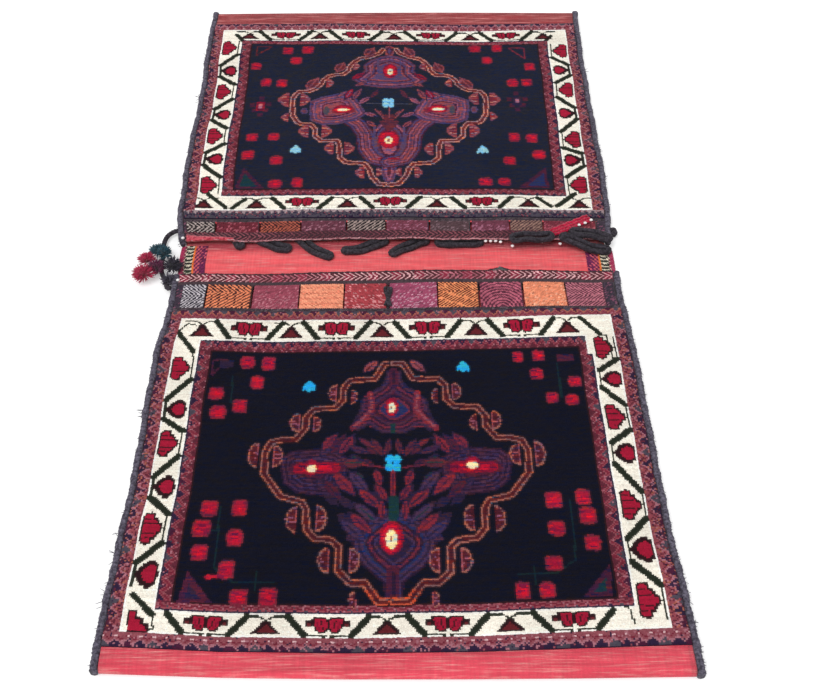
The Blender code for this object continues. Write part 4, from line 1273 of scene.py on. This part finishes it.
def closure_bands(material):
    """Chevron and dark strips beside both closures, and the wrapped ends of the bridge."""
    half = CLOTH_WIDTH / 2
    for name, band, pick, ground, slot in (
            ("near_chevron_band", NEAR_CHEVRONS, near_chevrons, "#54303E", "purple_soumak"),
            ("near_dark_band", NEAR_DARK, dark_strip, "#3C3542", "dark_soumak"),
            ("far_dark_band", FAR_DARK, dark_strip, "#3C3542", "dark_soumak"),
            ("far_chevron_band", FAR_CHEVRONS, far_chevrons, "#43242E", "dark_soumak")):
        stitch_field(name, -half, half, *row_of(band), pick, ground, material, slot=slot)
    for side, left, mirror in (("left", -half, False), ("right", half - BRIDGE_END, True)):
        stitch_field(f"bridge_{side}_end", left, left + BRIDGE_END, NEAR_MOUTH + 0.001, FAR_MOUTH - 0.001,
                     lambda *spots, mirror=mirror: bridge_end(*spots, mirror), "#3A2A30", material,
                     height=bridge_top, slot="purple_soumak")


def far_hem(material):
    """The turned-over red edge at the left end of the far lip, which tapers away to the right."""
    us = np.linspace(-CLOTH_WIDTH / 2 + 0.002, FAR_HEM_END, 48)
    share = (FAR_HEM_END - us) / (FAR_HEM_END - us[0])
    wide = 0.003 + (FAR_HEM - 0.003) * share ** 0.7 + 0.0008 * np.sin(us * 240)
    rings = []
    for across, up in ((-0.10, -0.0030), (-0.16, 0.0004), (0.0, 0.0026), (0.35, 0.0034), (0.75, 0.0028),
                       (1.0, 0.0012), (1.0, 0.0004)):
        y = FAR_MOUTH + across * wide
        x, strayed = place(us, y)
        rings.append(np.stack([x, strayed, FACE_TOP + swell(us, np.maximum(y, FAR_MOUTH)) + up], -1))
    verts = np.stack(rings).reshape(-1, 3)
    faces = grid_faces(len(rings), len(us))
    last = len(us) - 1
    faces += [[row * len(us) + step for row in range(len(rings))][::1 if step else -1] for step in (0, last)]
    behind = (len(rings) - 1) * len(us)
    faces += [[index + 1, index, index + behind, index + 1 + behind] for index in range(last)]
    new_piece("far_hem_edge", verts, faces, material, slot="red_kilim")


def cloth_columns():
    """Places across the cloth where its mesh has a line: evenly, and at both edges of every slit."""
    half = CLOTH_WIDTH / 2
    slits = slit_places(NEAR_PANELS, True)[1] + slit_places(FAR_PANELS, False)[1]
    edges = sorted(edge for slit in slits for edge in slit)
    plain = [u for u in np.linspace(-half, half, 61) if min(abs(u - edge) for edge in edges) > 0.003]
    return np.array(sorted([*plain, *edges]))


def cloth_rows():
    """Places along the folded cloth: Y, height, and whether the row is on the upper side."""
    turn = (POCKET_ROOM + CLOTH) / 2
    low = CLOTH / 2
    centre = HALF_LENGTH - turn - CLOTH / 2
    top = low + 2 * turn
    arc = [math.pi * step / 12 for step in range(1, 12)]
    near_slit, far_slit = [(row_of(band)[0] + SLIT_END, row_of(band)[1] - SLIT_END)
                           for band in (NEAR_PANEL_ROW, FAR_PANEL_ROW)]
    near = sorted([*np.linspace(-centre, near_slit[0], 60), *np.linspace(*near_slit, 9)[1:],
                   *np.linspace(near_slit[1], NEAR_MOUTH, 6)[1:]], reverse=True)
    far = sorted([*np.linspace(FAR_MOUTH, far_slit[0], 6), *np.linspace(*far_slit, 6)[1:],
                  *np.linspace(far_slit[1], centre, 60)[1:]], reverse=True)
    rows = [(y, top, True) for y in near]
    rows += [(-centre - turn * math.sin(a), low + turn * (1 + math.cos(a)), False) for a in arc]
    rows += [(y, low, False) for y in np.linspace(-centre, NEAR_MOUTH, 40)]
    rows += [(y, low, False) for y in np.linspace(NEAR_MOUTH, FAR_MOUTH, 10)[1:]]
    rows += [(y, low, False) for y in np.linspace(FAR_MOUTH, centre, 40)[1:]]
    rows += [(centre + turn * math.sin(a), low + turn * (1 + math.cos(a)), False) for a in reversed(arc)]
    rows += [(y, top, True) for y in far]
    return rows, (near_slit, far_slit)


def kilim_cloth(material, ground):
    """The one folded strip of flat weave: red, but dark where the closures are, and slit there."""
    us = cloth_columns()
    rows, (near_slit, far_slit) = cloth_rows()
    verts = []
    for y, z, upper in rows:
        x, strayed = place(us, y)
        lift = swell(us, y) if upper else 0 * us
        verts.append(np.stack([x, strayed, z + lift], -1))
    middle_u = (us[1:] + us[:-1]) / 2
    faces = []
    dark = []
    for row, quads in enumerate(np.array(grid_faces(len(rows), len(us))).reshape(len(rows) - 1, -1, 4)):
        y = (rows[row][0] + rows[row + 1][0]) / 2
        upper = rows[row][2] and rows[row + 1][2]
        open_here = np.zeros(middle_u.shape, bool)
        for ends, panels, opened in ((near_slit, NEAR_PANELS, True), (far_slit, FAR_PANELS, False)):
            if upper and ends[0] < y < ends[1]:
                for left, right in slit_places(panels, opened)[1]:
                    open_here |= (middle_u > left) & (middle_u < right)
        faces += quads[~open_here].tolist()
        dark_here = upper and (row_of(NEAR_PANEL_ROW)[0] < y < NEAR_MOUTH or FAR_MOUTH < y < far_slit[1])
        dark += [int(dark_here)] * int((~open_here).sum())
    cloth = new_piece("kilim_cloth", np.vstack(verts), faces, material, "woven_strip", slot="red_kilim")
    cloth.data.materials.append(ground)
    cloth.data.polygons.foreach_set("material_index", dark)
    shell = cloth.modifiers.new("Cloth thickness", "SOLIDIFY")
    shell.thickness = CLOTH
    shell.offset = 0.0
    return cloth


def swept(points, sideways, upwards, closed=False, up=(0, 0, 1)):
    """A tube along points: the corners of each ring lie so far sideways and upwards from its point."""
    steps = np.roll(points, -1, 0) - np.roll(points, 1, 0) if closed else np.gradient(points, axis=0)
    along = steps / np.linalg.norm(steps, axis=1)[:, None]
    across = np.cross(along, up)
    across /= np.linalg.norm(across, axis=1)[:, None]
    normal = np.cross(across, along)
    rings = points[:, None] + across[:, None] * sideways[..., None] + normal[:, None] * upwards[..., None]
    return rings.reshape(-1, 3), tube_faces(*sideways.shape, closed)


def rope(points, radius, pitch, plies, closed=False, up=(0, 0, 1), sides=14, depth=0.30, flat=1.0):
    """A twisted cord along even points: rings whose outline has a bulge for each ply."""
    points = np.asarray(points, float)
    gaps = np.linalg.norm(np.diff(points, axis=0, append=points[:1]), axis=1)
    run = np.concatenate([[0], np.cumsum(gaps)[:-1]])
    whole = run[-1] + (gaps[-1] if closed else 0)
    turns = max(1, round(whole / pitch * plies)) / plies
    phase = 2 * np.pi * turns * run / whole
    angle = np.linspace(0, 2 * np.pi, sides, endpoint=False)
    bulge = np.abs(np.cos(plies / 2 * (angle[None] - phase[:, None])))
    size = radius * (1 - depth + depth * bulge)
    return swept(points, size * np.cos(angle), size * np.sin(angle) * flat, closed, up)


def join_parts(parts):
    """Several lots of vertices and faces as one."""
    verts = []
    faces = []
    start = 0
    for part_verts, part_faces in parts:
        verts.append(part_verts)
        faces += [[corner + start for corner in face] for face in part_faces]
        start += len(part_verts)
    return np.vstack(verts), faces


def side_binding(name, sign, y_start, y_end, material):
    """Edge binding: goat-hair cord wrapped slantwise round both cloths, thick and a little uneven."""
    step = 0.0014
    count = round(abs(y_end - y_start) / step)
    ys = np.linspace(y_start, y_end, count)
    x, strayed = place(sign * (CLOTH_WIDTH / 2), ys)
    x = x + sign * (CLEAR + BINDING_WIDTH / 2 + 0.0002)
    sides = 16
    angle = np.linspace(0, 2 * np.pi, sides, endpoint=False)
    slant = (ys[:, None] / 0.0062 + angle[None] / (2 * np.pi)) % 1
    uneven = 0.0005 * np.sin(ys * 170 + 2) + 0.0004 * np.sin(ys * 290)
    relief = 0.0010 * np.abs(np.sin(np.pi * slant)) - 0.0006
    wide = BINDING_WIDTH / 2 + 0.0003 + relief + uneven[:, None]
    tall = BINDING_HEIGHT / 2 - 0.0003 + relief
    power = 0.75
    cos, sin = np.cos(angle), np.sin(angle)
    verts = np.empty((count, sides, 3))
    verts[..., 0] = x[:, None] + wide * np.sign(cos) * np.abs(cos) ** power
    verts[..., 1] = strayed[:, None] + rng.normal(0, 0.0002, (count, sides))
    verts[..., 2] = np.maximum(BINDING_HEIGHT / 2 + tall * np.sign(sin) * np.abs(sin) ** power, 0.0)
    new_piece(f"{name}_cord", verts.reshape(-1, 3), tube_faces(count, sides), material, name,
              slot="goat_hair")


def bridge_overcast(name, sign, material):
    """Magenta yarn sewn over the bridge's edge, stitch by stitch."""
    angle = np.linspace(0, 2 * np.pi, 12, endpoint=False)
    parts = []
    for row in np.arange(NEAR_MOUTH + 0.003, FAR_MOUTH - 0.002, 0.0034):
        x, y = place(sign * CLOTH_WIDTH / 2, row)
        points = np.stack([x + sign * 0.0010 + 0.0042 * np.cos(angle), y + 0.0010 * np.sin(angle + 0.6),
                           0.0026 + 0.0010 * np.sin(angle)], -1)
        parts.append(rope(points, 0.0015, 0.006, 2, closed=True, up=(0, 1, 0.2), sides=6))
    verts, faces = join_parts(parts)
    verts[:, 2] = np.maximum(verts[:, 2], 0.0)
    new_piece(f"{name}_stitches", verts, faces, material, name, slot="rose_wool")


def loop_line(start, end, spread, bow, count=84):
    """Even points round a long narrow loop between two ends, bowed to one side and slack in its middle."""
    start, end = np.array(start), np.array(end)
    along = (end - start)[:2] / np.linalg.norm((end - start)[:2])
    across = np.array((-along[1], along[0]))
    room = spread + LOOP_CORD / 2
    straight = np.linalg.norm((end - start)[:2]) - 2 * room
    half = straight + np.pi * spread
    run = np.linspace(0, 2 * half, count, endpoint=False)
    turn = np.clip((run % half - straight) / spread, 0, np.pi)
    forward = np.minimum(run % half, straight) + spread * np.sin(turn)
    side = -np.cos(turn)
    forward = np.where(run < half, forward, straight - forward)
    side = np.where(run < half, side, -side)
    share = np.clip(forward / straight, 0, 1)
    sway = np.sin(np.pi * share) * (bow + 0.0008 * side) + 0.0009 * np.sin(9 * share + 5 * bow / MM)
    spots = start[:2] + np.outer(room + forward, along) + np.outer(spread * side + sway, across)
    height = start[2] + (end[2] - start[2]) * share + 0.0006 * np.sin(7 * share + side)
    return np.column_stack([spots, height])


# The far loops as they lie: both ends, how far the middle bows, and half the gap between the two cords
FAR_LOOPS = (
    ((-0.262, 0.106, 0.0078), (-0.242, 0.046, 0.0078), 0.001, 0.0040),
    ((-0.222, 0.074, 0.0078), (-0.163, 0.043, 0.0078), -0.003, 0.0052),
    ((-0.168, 0.089, 0.0078), (-0.099, 0.023, 0.0078), -0.004, 0.0048),
    ((-0.012, 0.066, 0.0078), (-0.085, 0.038, 0.0078), 0.004, 0.0048),
    ((0.052, 0.066, 0.0078), (-0.011, 0.032, 0.0078), -0.003, 0.0048),
    ((0.060, 0.059, 0.0080), (0.138, 0.061, 0.0078), -0.002, 0.0048),
    ((0.176, 0.0535, 0.0222), (0.247, 0.0555, 0.0222), 0.001, 0.0062),
    ((0.254, 0.058, 0.0222), (0.334, 0.034, 0.0100), -0.004, 0.0052),
    ((0.270, 0.067, 0.0235), (0.337, 0.050, 0.0225), 0.003, 0.0050))
LOOP_THICKNESS = 0.0046


def closure_loops(material):
    """Doubled cords: the far ones out on the bridge, the near ones inside, one standing in its slit."""
    spread = (LOOP_CORD + LOOP_EYE) / 2
    height = CLOTH + CLEAR + LOOP_CORD / 2
    places = {f"far_loop_{index + 1}": lie for index, lie in enumerate(FAR_LOOPS)}
    row = NEAR_MOUTH - NEAR_LOOP_INSET
    for index, (left, right) in enumerate(slit_places(NEAR_PANELS, True)[1]):
        x = (left + right) / 2 * float(waist(row))
        if index == OPENED_SLIT:
            arch_loop(f"near_loop_{index + 1}", (left + right) / 2, material)
        else:
            places[f"near_loop_{index + 1}"] = ((x - LOOP_LENGTH / 2, row, height),
                                                (x + LOOP_LENGTH / 2, row, height), 0.0, spread - 0.0006)
    for name, (start, end, bow, gap) in places.items():
        points = loop_line(start, end, gap, bow)
        thick = LOOP_CORD / 2 if name.startswith("near") else LOOP_THICKNESS
        verts, faces = rope(points, thick + 0.0002, 0.010, 3, closed=True, depth=0.34)
        new_piece(f"{name}_cord", verts, faces, material, name, slot="loop_cord")


def lip_cords(pale, dark, grey):
    """Edge cords of both mouths: pale pink at the far one, dark at the near one with its grey peak."""
    us = np.linspace(-CLOTH_WIDTH / 2, CLOTH_WIDTH / 2, 420)
    for name, y, radius, material, drop in (("far_lip_cord", FAR_MOUTH, 0.0013, pale, 0.0),
                                            ("near_lip_cord", NEAR_MOUTH, 0.0016, dark, 0.0004)):
        x, strayed = place(us, y)
        height = FACE_TOP + swell(us, y) - drop
        rough = 0.0006 * np.sin(us * 310) + 0.0004 * np.sin(us * 730)
        points = np.stack([x, strayed + rough, height], -1)
        verts, faces = rope(points, radius, 0.006, 2, sides=6, depth=0.25)
        new_piece(name, verts, faces, material, slot="dark_soumak")
    x, y = place((LIP_PEAK - 0.012, LIP_PEAK, LIP_PEAK + 0.012), NEAR_MOUTH)
    parts = []
    for step in range(9):
        share = (step - 4) / 4
        foot = np.array((x[1] + 0.013 * share, y[0] - 0.004, FACE_TOP + 0.0016))
        tip = np.array((x[1] + 0.003 * share, y[1] + 0.0015 - 0.006 * abs(share), FACE_TOP + 0.0022))
        parts.append(rope([foot, (foot + tip) / 2 + (0, 0, 0.0008), tip], 0.0013, 0.01, 2, sides=6))
    verts, faces = join_parts(parts)
    new_piece("near_lip_peak", verts, faces, grey, slot="grey_soumak")


def arch_loop(name, u, material):
    """The loop pushed up through its slit, standing just over the panels."""
    low, high = row_of(NEAR_PANEL_ROW)
    x = u * float(waist((low + high) / 2))
    foot = CLOTH + CLEAR + ARCH_CORD / 2
    top = FACE_TOP + 0.0046
    inset = SLIT_END + ARCH_CORD / 2 + CLEAR
    route = [Vector((x, low + inset, foot)), Vector((x, low + inset + 0.004, top)),
             Vector((x, (low + high) / 2, top)), Vector((x, high - inset - 0.004, top)),
             Vector((x, high - inset, foot))]
    points = even_points(smooth_route(route, 0.001), 0.001)
    parts = [rope(points, ARCH_CORD / 2, 0.008, 3, up=(1, 0, 0), depth=0.25)]
    for sway, lift in ((-0.0048, 0.0006), (0.0046, -0.0004)):
        side = [Vector((p[0] + sway * (0.6 + 0.4 * math.sin(index / 6)), p[1], p[2] + lift))
                for index, p in enumerate(points) if p[2] > FACE_TOP + 0.0035]
        parts.append(rope(side, 0.0024, 0.008, 3, up=(1, 0, 0), depth=0.25))
    verts, faces = join_parts(parts)
    return new_piece(f"{name}_cord", verts, faces, material, name, slot="loop_cord")


def smooth_route(points, step):
    """Points about a step apart on a smooth curve through the given ones."""
    padded = [2 * points[0] - points[1], *points, 2 * points[-1] - points[-2]]
    route = []
    for a, b, c, d in zip(padded, padded[1:], padded[2:], padded[3:]):
        count = max(1, round((c - b).length / step))
        for index in range(count):
            t = index / count
            route.append(0.5 * (2 * b + (c - a) * t + (2 * a - 5 * b + 4 * c - d) * t ** 2
                                + (3 * b - a - 3 * c + d) * t ** 3))
    return [*route, points[-1]]


def even_points(points, step):
    """The same line with its points at even steps."""
    points = np.array([tuple(point) for point in points])
    run = np.concatenate([[0], np.cumsum(np.linalg.norm(np.diff(points, axis=0), axis=1))])
    at = np.linspace(0, run[-1], max(4, round(run[-1] / step)))
    return np.stack([np.interp(at, run, points[:, axis]) for axis in range(3)], -1)


# Tassel cord at the left end of the bridge
TASSEL_CORD = 0.008
CORD_HEIGHTS = (0.0090, 0.0090, 0.0065, 0.0045)
CORD_ROUTE = (
    (-0.3480, 0.0870), (-0.3595, 0.0780), (-0.3635, 0.0610), (-0.3608, 0.0430), (-0.3620, 0.0155),
    (-0.3595, -0.0010), (-0.3550, -0.0130), (-0.3485, -0.0300), (-0.3450, -0.0420))


def tassel_cord(material, tufts):
    """The cord out of the far binding and back into the near one; tufts, the tassel heads, is not used."""
    radius = TASSEL_CORD / 2
    edge = CLOTH_WIDTH / 2 + CLEAR + BINDING_WIDTH
    ends = [(-edge * float(waist(y)) - CLEAR, y) for y in (CORD_ROUTE[0][1], CORD_ROUTE[-1][1])]
    heights = [*CORD_HEIGHTS, *[radius] * (len(CORD_ROUTE) - 2 * len(CORD_HEIGHTS) + 2),
               *reversed(CORD_HEIGHTS)]
    route = [Vector((*spot, height)) for spot, height in zip((ends[0], *CORD_ROUTE, ends[1]), heights)]
    points = even_points(smooth_route(route, 0.002), 0.0013)
    verts, faces = rope(points, radius, 0.012, 3, depth=0.25)
    cord = new_piece("tassel_cord_braid", verts, faces, material, "tassel_cord", slot="loop_cord")


def tuft(name, centre, radius, lean, strands, reach, material, slot, *nodes):
    """A tassel head: cut wool strands that spread from its knot, more of them towards one side."""
    centre = np.array(centre)
    lean = np.array(lean, float)
    parts = []
    for _ in range(strands):
        aim = rng.normal(0, 1, 3) + lean
        aim[2] = abs(aim[2]) * 0.8 if centre[2] < radius + 0.002 else aim[2]
        aim /= np.linalg.norm(aim)
        bend = rng.normal(0, 0.25, 3)
        length = radius * reach * rng.uniform(0.75, 1.15)
        size = rng.uniform(0.0005, 0.0009)
        spots = [centre + aim * length * t + bend * length * t * t * 0.3 for t in (0.10, 0.5, 0.8, 1.0)]
        parts.append(strand(spots, (size, size, size * 0.8, size * 0.35)))
    verts, faces = join_parts(parts)
    verts[:, 2] = np.maximum(verts[:, 2], 0.0002)
    return new_piece(f"{name}_strands", verts, faces, material, *nodes, slot=slot)


def strand(spots, sizes, sides=4):
    """One thin strand through a few points, tapering to its end."""
    angle = np.linspace(0, 2 * np.pi, sides, endpoint=False)
    size = np.array(sizes)[:, None]
    return swept(np.array(spots), size * np.cos(angle), size * np.sin(angle), up=(0.3, 0.5, 0.81))


# Tassel heads: their solid, how far they lie from its middle, the knot's radius, the way they lean,
# strands, the strands' length by that radius, and wool
TASSELS = (
    ("teal_tassel", (0.005, -0.006), 0.0095, (-0.2, 0.3, 0.5), 300, 1.45, "teal"),
    ("upper_rose_tassel", (-0.004, -0.003), 0.0105, (-0.2, 1.2, 0.4), 420, 1.35, "rose"),
    ("lower_rose_tassel", (-0.004, 0.0), 0.0120, (-0.8, -0.2, 0.4), 460, 1.40, "rose"))
# Clumps of wool between them, each at a place of the photo and a height, and then the same values
CLUMPS = (
    ("indigo_clump", (163, 252), 0.012, 0.0105, (0.4, 0.3, 0.5), 300, 1.25, "teal"),
    ("plum_core", (155, 266), 0.010, 0.0125, (0.0, -0.1, 0.4), 360, 1.15, "plum"),
    ("corner_fringe", (167, 278), 0.008, 0.0100, (0.8, -0.8, 0.3), 260, 1.30, "hair"),
    ("dark_clump", (171, 264), 0.010, 0.0120, (0.5, -0.1, 0.4), 380, 1.25, "dark"))


def tassels(wools):
    """Three tassel heads where the solids are, and the clumps of wool that tie them to the bag."""
    heads = []
    for node, shift, radius, lean, strands, reach, wool in TASSELS:
        low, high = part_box(node)
        centre = [(a + b) / 2 + off for a, b, off in zip(low, high, (*shift, 0))]
        heads.append(tuft(node, centre, radius, lean, strands, reach, *wools[wool], node))
    for name, pixel, height, radius, lean, strands, reach, wool in CLUMPS:
        centre = (*from_pixel(*pixel, height), height)
        heads.append(tuft(name, centre, radius, lean, strands, reach, *wools[wool]))
    return heads


def strap(material):
    """The rose wool strap: three flat plaits side by side, aslant over the panels, with its beads."""
    low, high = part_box("wool_strap")
    start = Vector((0.245, FAR_MOUTH + 0.011, (low.z + high.z) / 2))
    end = Vector((0.306, FAR_MOUTH + 0.046, (low.z + high.z) / 2))
    along = (end - start).normalized()
    across = Vector((-along.y, along.x, 0))
    parts = []
    for lane in (-0.0058, 0.0, 0.0058):
        count = 44
        points = [start + (end - start) * (step / count)
                  + across * (lane + 0.0008 * math.sin(step * 0.7 + lane * 900)) for step in range(count + 1)]
        parts.append(rope(points, 0.0033, 0.007, 3, depth=0.4, flat=0.65))
    verts, faces = join_parts(parts)
    return new_piece("wool_strap_plaits", verts, faces, material, "wool_strap", slot="rose_wool")


# Photo places of the white beads, and the height of what each one lies on
BEADS = (
    (486, 240, 0.013), (491, 240, 0.013), (496, 240, 0.013), (501, 241, 0.013), (513, 245, 0.012),
    (543, 241, 0.013), (561, 243, 0.012), (579, 225, 0.021), (585, 223, 0.021), (591, 220, 0.021),
    (178, 278, 0.018), (183, 236, 0.018), (166, 263, 0.012))


def beads(material):
    """Small white glass beads, each a little flattened along its thread."""
    shape = bmesh.new()
    for px, py, height in BEADS:
        x, y = from_pixel(px, py, height)
        for vert in bmesh.ops.create_uvsphere(shape, u_segments=14, v_segments=9, radius=0.0024)["verts"]:
            vert.co = (x + vert.co.x * 1.15, y + vert.co.y, height + vert.co.z * 0.85)
    shape.verts.index_update()
    verts = [tuple(vert.co) for vert in shape.verts]
    faces = [[vert.index for vert in face.verts] for face in shape.faces]
    shape.free()
    new_piece("white_beads", verts, faces, material)


# Where loose threads stand out of the edge bindings: side, place along the bag, length, and how many
LOOSE_THREADS = (
    (-1, -0.287, 0.011, 5), (-1, -0.300, 0.009, 4), (-1, -0.352, 0.008, 3), (-1, -0.505, 0.010, 3),
    (-1, -0.530, 0.014, 3), (-1, -0.590, 0.009, 3), (-1, -0.604, 0.010, 2), (-1, 0.445, 0.012, 5),
    (-1, 0.575, 0.008, 3), (1, 0.520, 0.008, 3), (1, 0.215, 0.007, 3), (1, -0.090, 0.008, 3))


def loose_threads(material):
    """Frayed hairs along the bindings, longer where the photo shows them."""
    parts = []
    half = CLOTH_WIDTH / 2 + CLEAR + BINDING_WIDTH
    tufts = list(LOOSE_THREADS)
    for side in (-1, 1):
        for y in np.arange(-0.690, 0.690, 0.011):
            if not NEAR_MOUTH < y < FAR_MOUTH:
                tufts.append((side, y + rng.normal(0, 0.004), rng.uniform(0.002, 0.0050), 3))
    for side, y, length, count in tufts:
        for _ in range(count):
            u = side * (half - 0.002)
            x, strayed = place(u, y + rng.normal(0, 0.003))
            root = np.array((x, strayed, rng.uniform(0.004, 0.015)))
            aim = np.array((side, rng.normal(0, 0.8), rng.normal(0, 0.25)))
            aim /= np.linalg.norm(aim)
            bend = rng.normal(0, 0.4, 3)
            spots = [root + aim * length * t + bend * length * t * t * 0.4 for t in (0, 0.4, 0.75, 1.0)]
            parts.append(strand(spots, (0.0005, 0.00045, 0.0004, 0.0002), sides=3))
    verts, faces = join_parts(parts)
    verts[:, 2] = np.maximum(verts[:, 2], 0.0003)
    return new_piece("loose_edge_threads", verts, faces, material, slot="goat_hair")


def corner_knot(material):
    """A small dark knot of cord at the right end of the far mouth."""
    x, y = from_pixel(613, 232, 0.008)
    turns = np.linspace(0, 2 * np.pi, 40, endpoint=False)
    points = np.stack([x + 0.0052 * np.cos(2 * turns) * (1 + 0.3 * np.cos(3 * turns)),
                       y + 0.0052 * np.sin(2 * turns) * (1 + 0.3 * np.cos(3 * turns)),
                       0.009 + 0.003 * np.sin(3 * turns)], -1)
    verts, faces = rope(points, 0.0032, 0.009, 3, closed=True, depth=0.25)
    return new_piece("corner_knot", verts, faces, material, slot="loop_cord")


# Camera at the photo's viewing angle
CAMERA_PLACE = (0.0064, -1.4314, 1.333)
CAMERA_TILT, CAMERA_TURN = 43.6, -0.389
CAMERA_LENS = 56.24


def camera():
    """The camera, where the photo's was."""
    data = bpy.data.cameras.new("camera")
    data.lens = CAMERA_LENS
    data.sensor_width = 36
    data.sensor_fit = "HORIZONTAL"
    eye = bpy.data.objects.new("camera", data)
    eye.location = CAMERA_PLACE
    eye.rotation_euler = (math.radians(CAMERA_TILT), 0, math.radians(CAMERA_TURN))
    bpy.context.scene.collection.objects.link(eye)
    bpy.context.scene.camera = eye


def floor():
    """Plain pale floor that shows white, and keeps the soft shadow of the bag."""
    material, tree = new_material("pale studio floor")
    path = add_node(tree, "LightPath")
    seen = add_node(tree, "Math", {"operation": "MAXIMUM"},
                    {0: path["Is Camera Ray"], 1: path["Is Glossy Ray"]})[0]
    seen = add_node(tree, "Math", {"operation": "MAXIMUM"}, {0: seen, 1: path["Is Transmission Ray"]})[0]
    glow = add_node(tree, "Math", {"operation": "MULTIPLY", 1: 0.36}, {0: seen})[0]
    shader = add_node(tree, "BsdfPrincipled",
                      {"Base Color": (0.80, 0.80, 0.80, 1), "Roughness": 0.9, "Specular IOR Level": 0.1,
                       "Emission Color": (1, 1, 1, 1)}, {"Emission Strength": glow})
    add_node(tree, "OutputMaterial", links={"Surface": shader[0]})
    mesh = bpy.data.meshes.new("floor")
    mesh.from_pydata([(-9, -9, -0.0004), (9, -9, -0.0004), (9, 9, -0.0004), (-9, 9, -0.0004)], [],
                     [(0, 1, 2, 3)])
    mesh.materials.append(material)
    sheet = bpy.data.objects.new("floor", mesh)
    bpy.context.scene.collection.objects.link(sheet)


def lights():
    """A white room, and one broad soft lamp from above and behind the camera."""
    world = bpy.data.worlds.new("white studio")
    bpy.context.scene.world = world
    world.use_nodes = True
    tree = world.node_tree
    tree.nodes.clear()
    path = add_node(tree, "LightPath")
    level = add_node(tree, "MapRange", {"To Min": 0.62, "To Max": 1.0}, {"Value": path["Is Camera Ray"]})
    sky = add_node(tree, "Background", {"Color": (1, 1, 1, 1)}, {"Strength": level[0]})
    add_node(tree, "OutputWorld", links={"Surface": sky[0]})
    data = bpy.data.lights.new("softbox", "SUN")
    data.energy = 1.60
    data.angle = math.radians(30)
    lamp = bpy.data.objects.new("softbox", data)
    lamp.rotation_euler = (math.radians(28), math.radians(-18), 0)
    bpy.context.scene.collection.objects.link(lamp)


def build():
    """The whole bag, in the order of its making."""
    camera()
    floor()
    lights()
    bpy.context.scene.view_settings.view_transform = "Standard"
    pile, wrapped, red = knotted_pile(), wrapped_wool(), red_kilim()
    binding_hair = hair_cord("wrapped goat hair", "#37323E", "#7C7688")
    cord_hair = hair_cord("plied goat-hair cord", "#1E1A20", "#504A54")
    wools = {"rose": (yarn("rose wool strands", "#8C1438", "#CE2E5C"), "rose_wool"),
             "teal": (yarn("teal wool strands", "#12303A", "#2A5E70"), "teal_wool"),
             "plum": (yarn("plum wool strands", "#4A1838", "#7A3458"), "rose_wool"),
             "dark": (yarn("dark wool strands", "#1C1E28", "#3E3648"), "teal_wool"),
             "hair": (binding_hair, "goat_hair")}
    magenta = yarn("magenta wool stitches", "#8A1440", "#C23A66")
    crimson = yarn("crimson wool plaits", "#8A0C28", "#CC2048")
    pink_lip = yarn("pink wool edge", "#9A5660", "#D09AA0")
    grey_lip = yarn("grey wool edge", "#34363A", "#5C605C")
    ground = yarn("dark weave under the closures", "#33222A", "#4C303A")
    faces = [pocket_pile("near", NEAR_RINGS, NEAR_LOW, NEAR_HIGH, NEAR_LEFT, NEAR_RIGHT, near_field,
                         False, pile),
             pocket_pile("far", FAR_RINGS, FAR_LOW, FAR_HIGH, FAR_LEFT, FAR_RIGHT, far_field, True, pile)]
    closure("near", NEAR_PANELS, NEAR_PANEL_ROW, wrapped)
    closure("far", FAR_PANELS, FAR_PANEL_ROW, wrapped)
    closure_bands(wrapped)
    far_hem(yarn("turned-over red edge", "#9A2238", "#D8606C"))
    cloth = kilim_cloth(red, ground)
    for pocket, y_start, y_end in (("near", -HALF_LENGTH, NEAR_MOUTH), ("far", FAR_MOUTH, HALF_LENGTH)):
        for side, sign in (("left", -1), ("right", 1)):
            side_binding(f"{pocket}_{side}_binding", sign, y_start + 0.0005, y_end - 0.0005, binding_hair)
    for side, sign in (("left", -1), ("right", 1)):
        bridge_overcast(f"bridge_{side}_overcast", sign, magenta)
    closure_loops(cord_hair)
    lip_cords(pink_lip, cord_hair, grey_lip)
    tassel_cord(cord_hair, tassels(wools))
    strap(crimson)
    beads(bead_glass())
    loose_threads(binding_hair)
    corner_knot(cord_hair)


build()
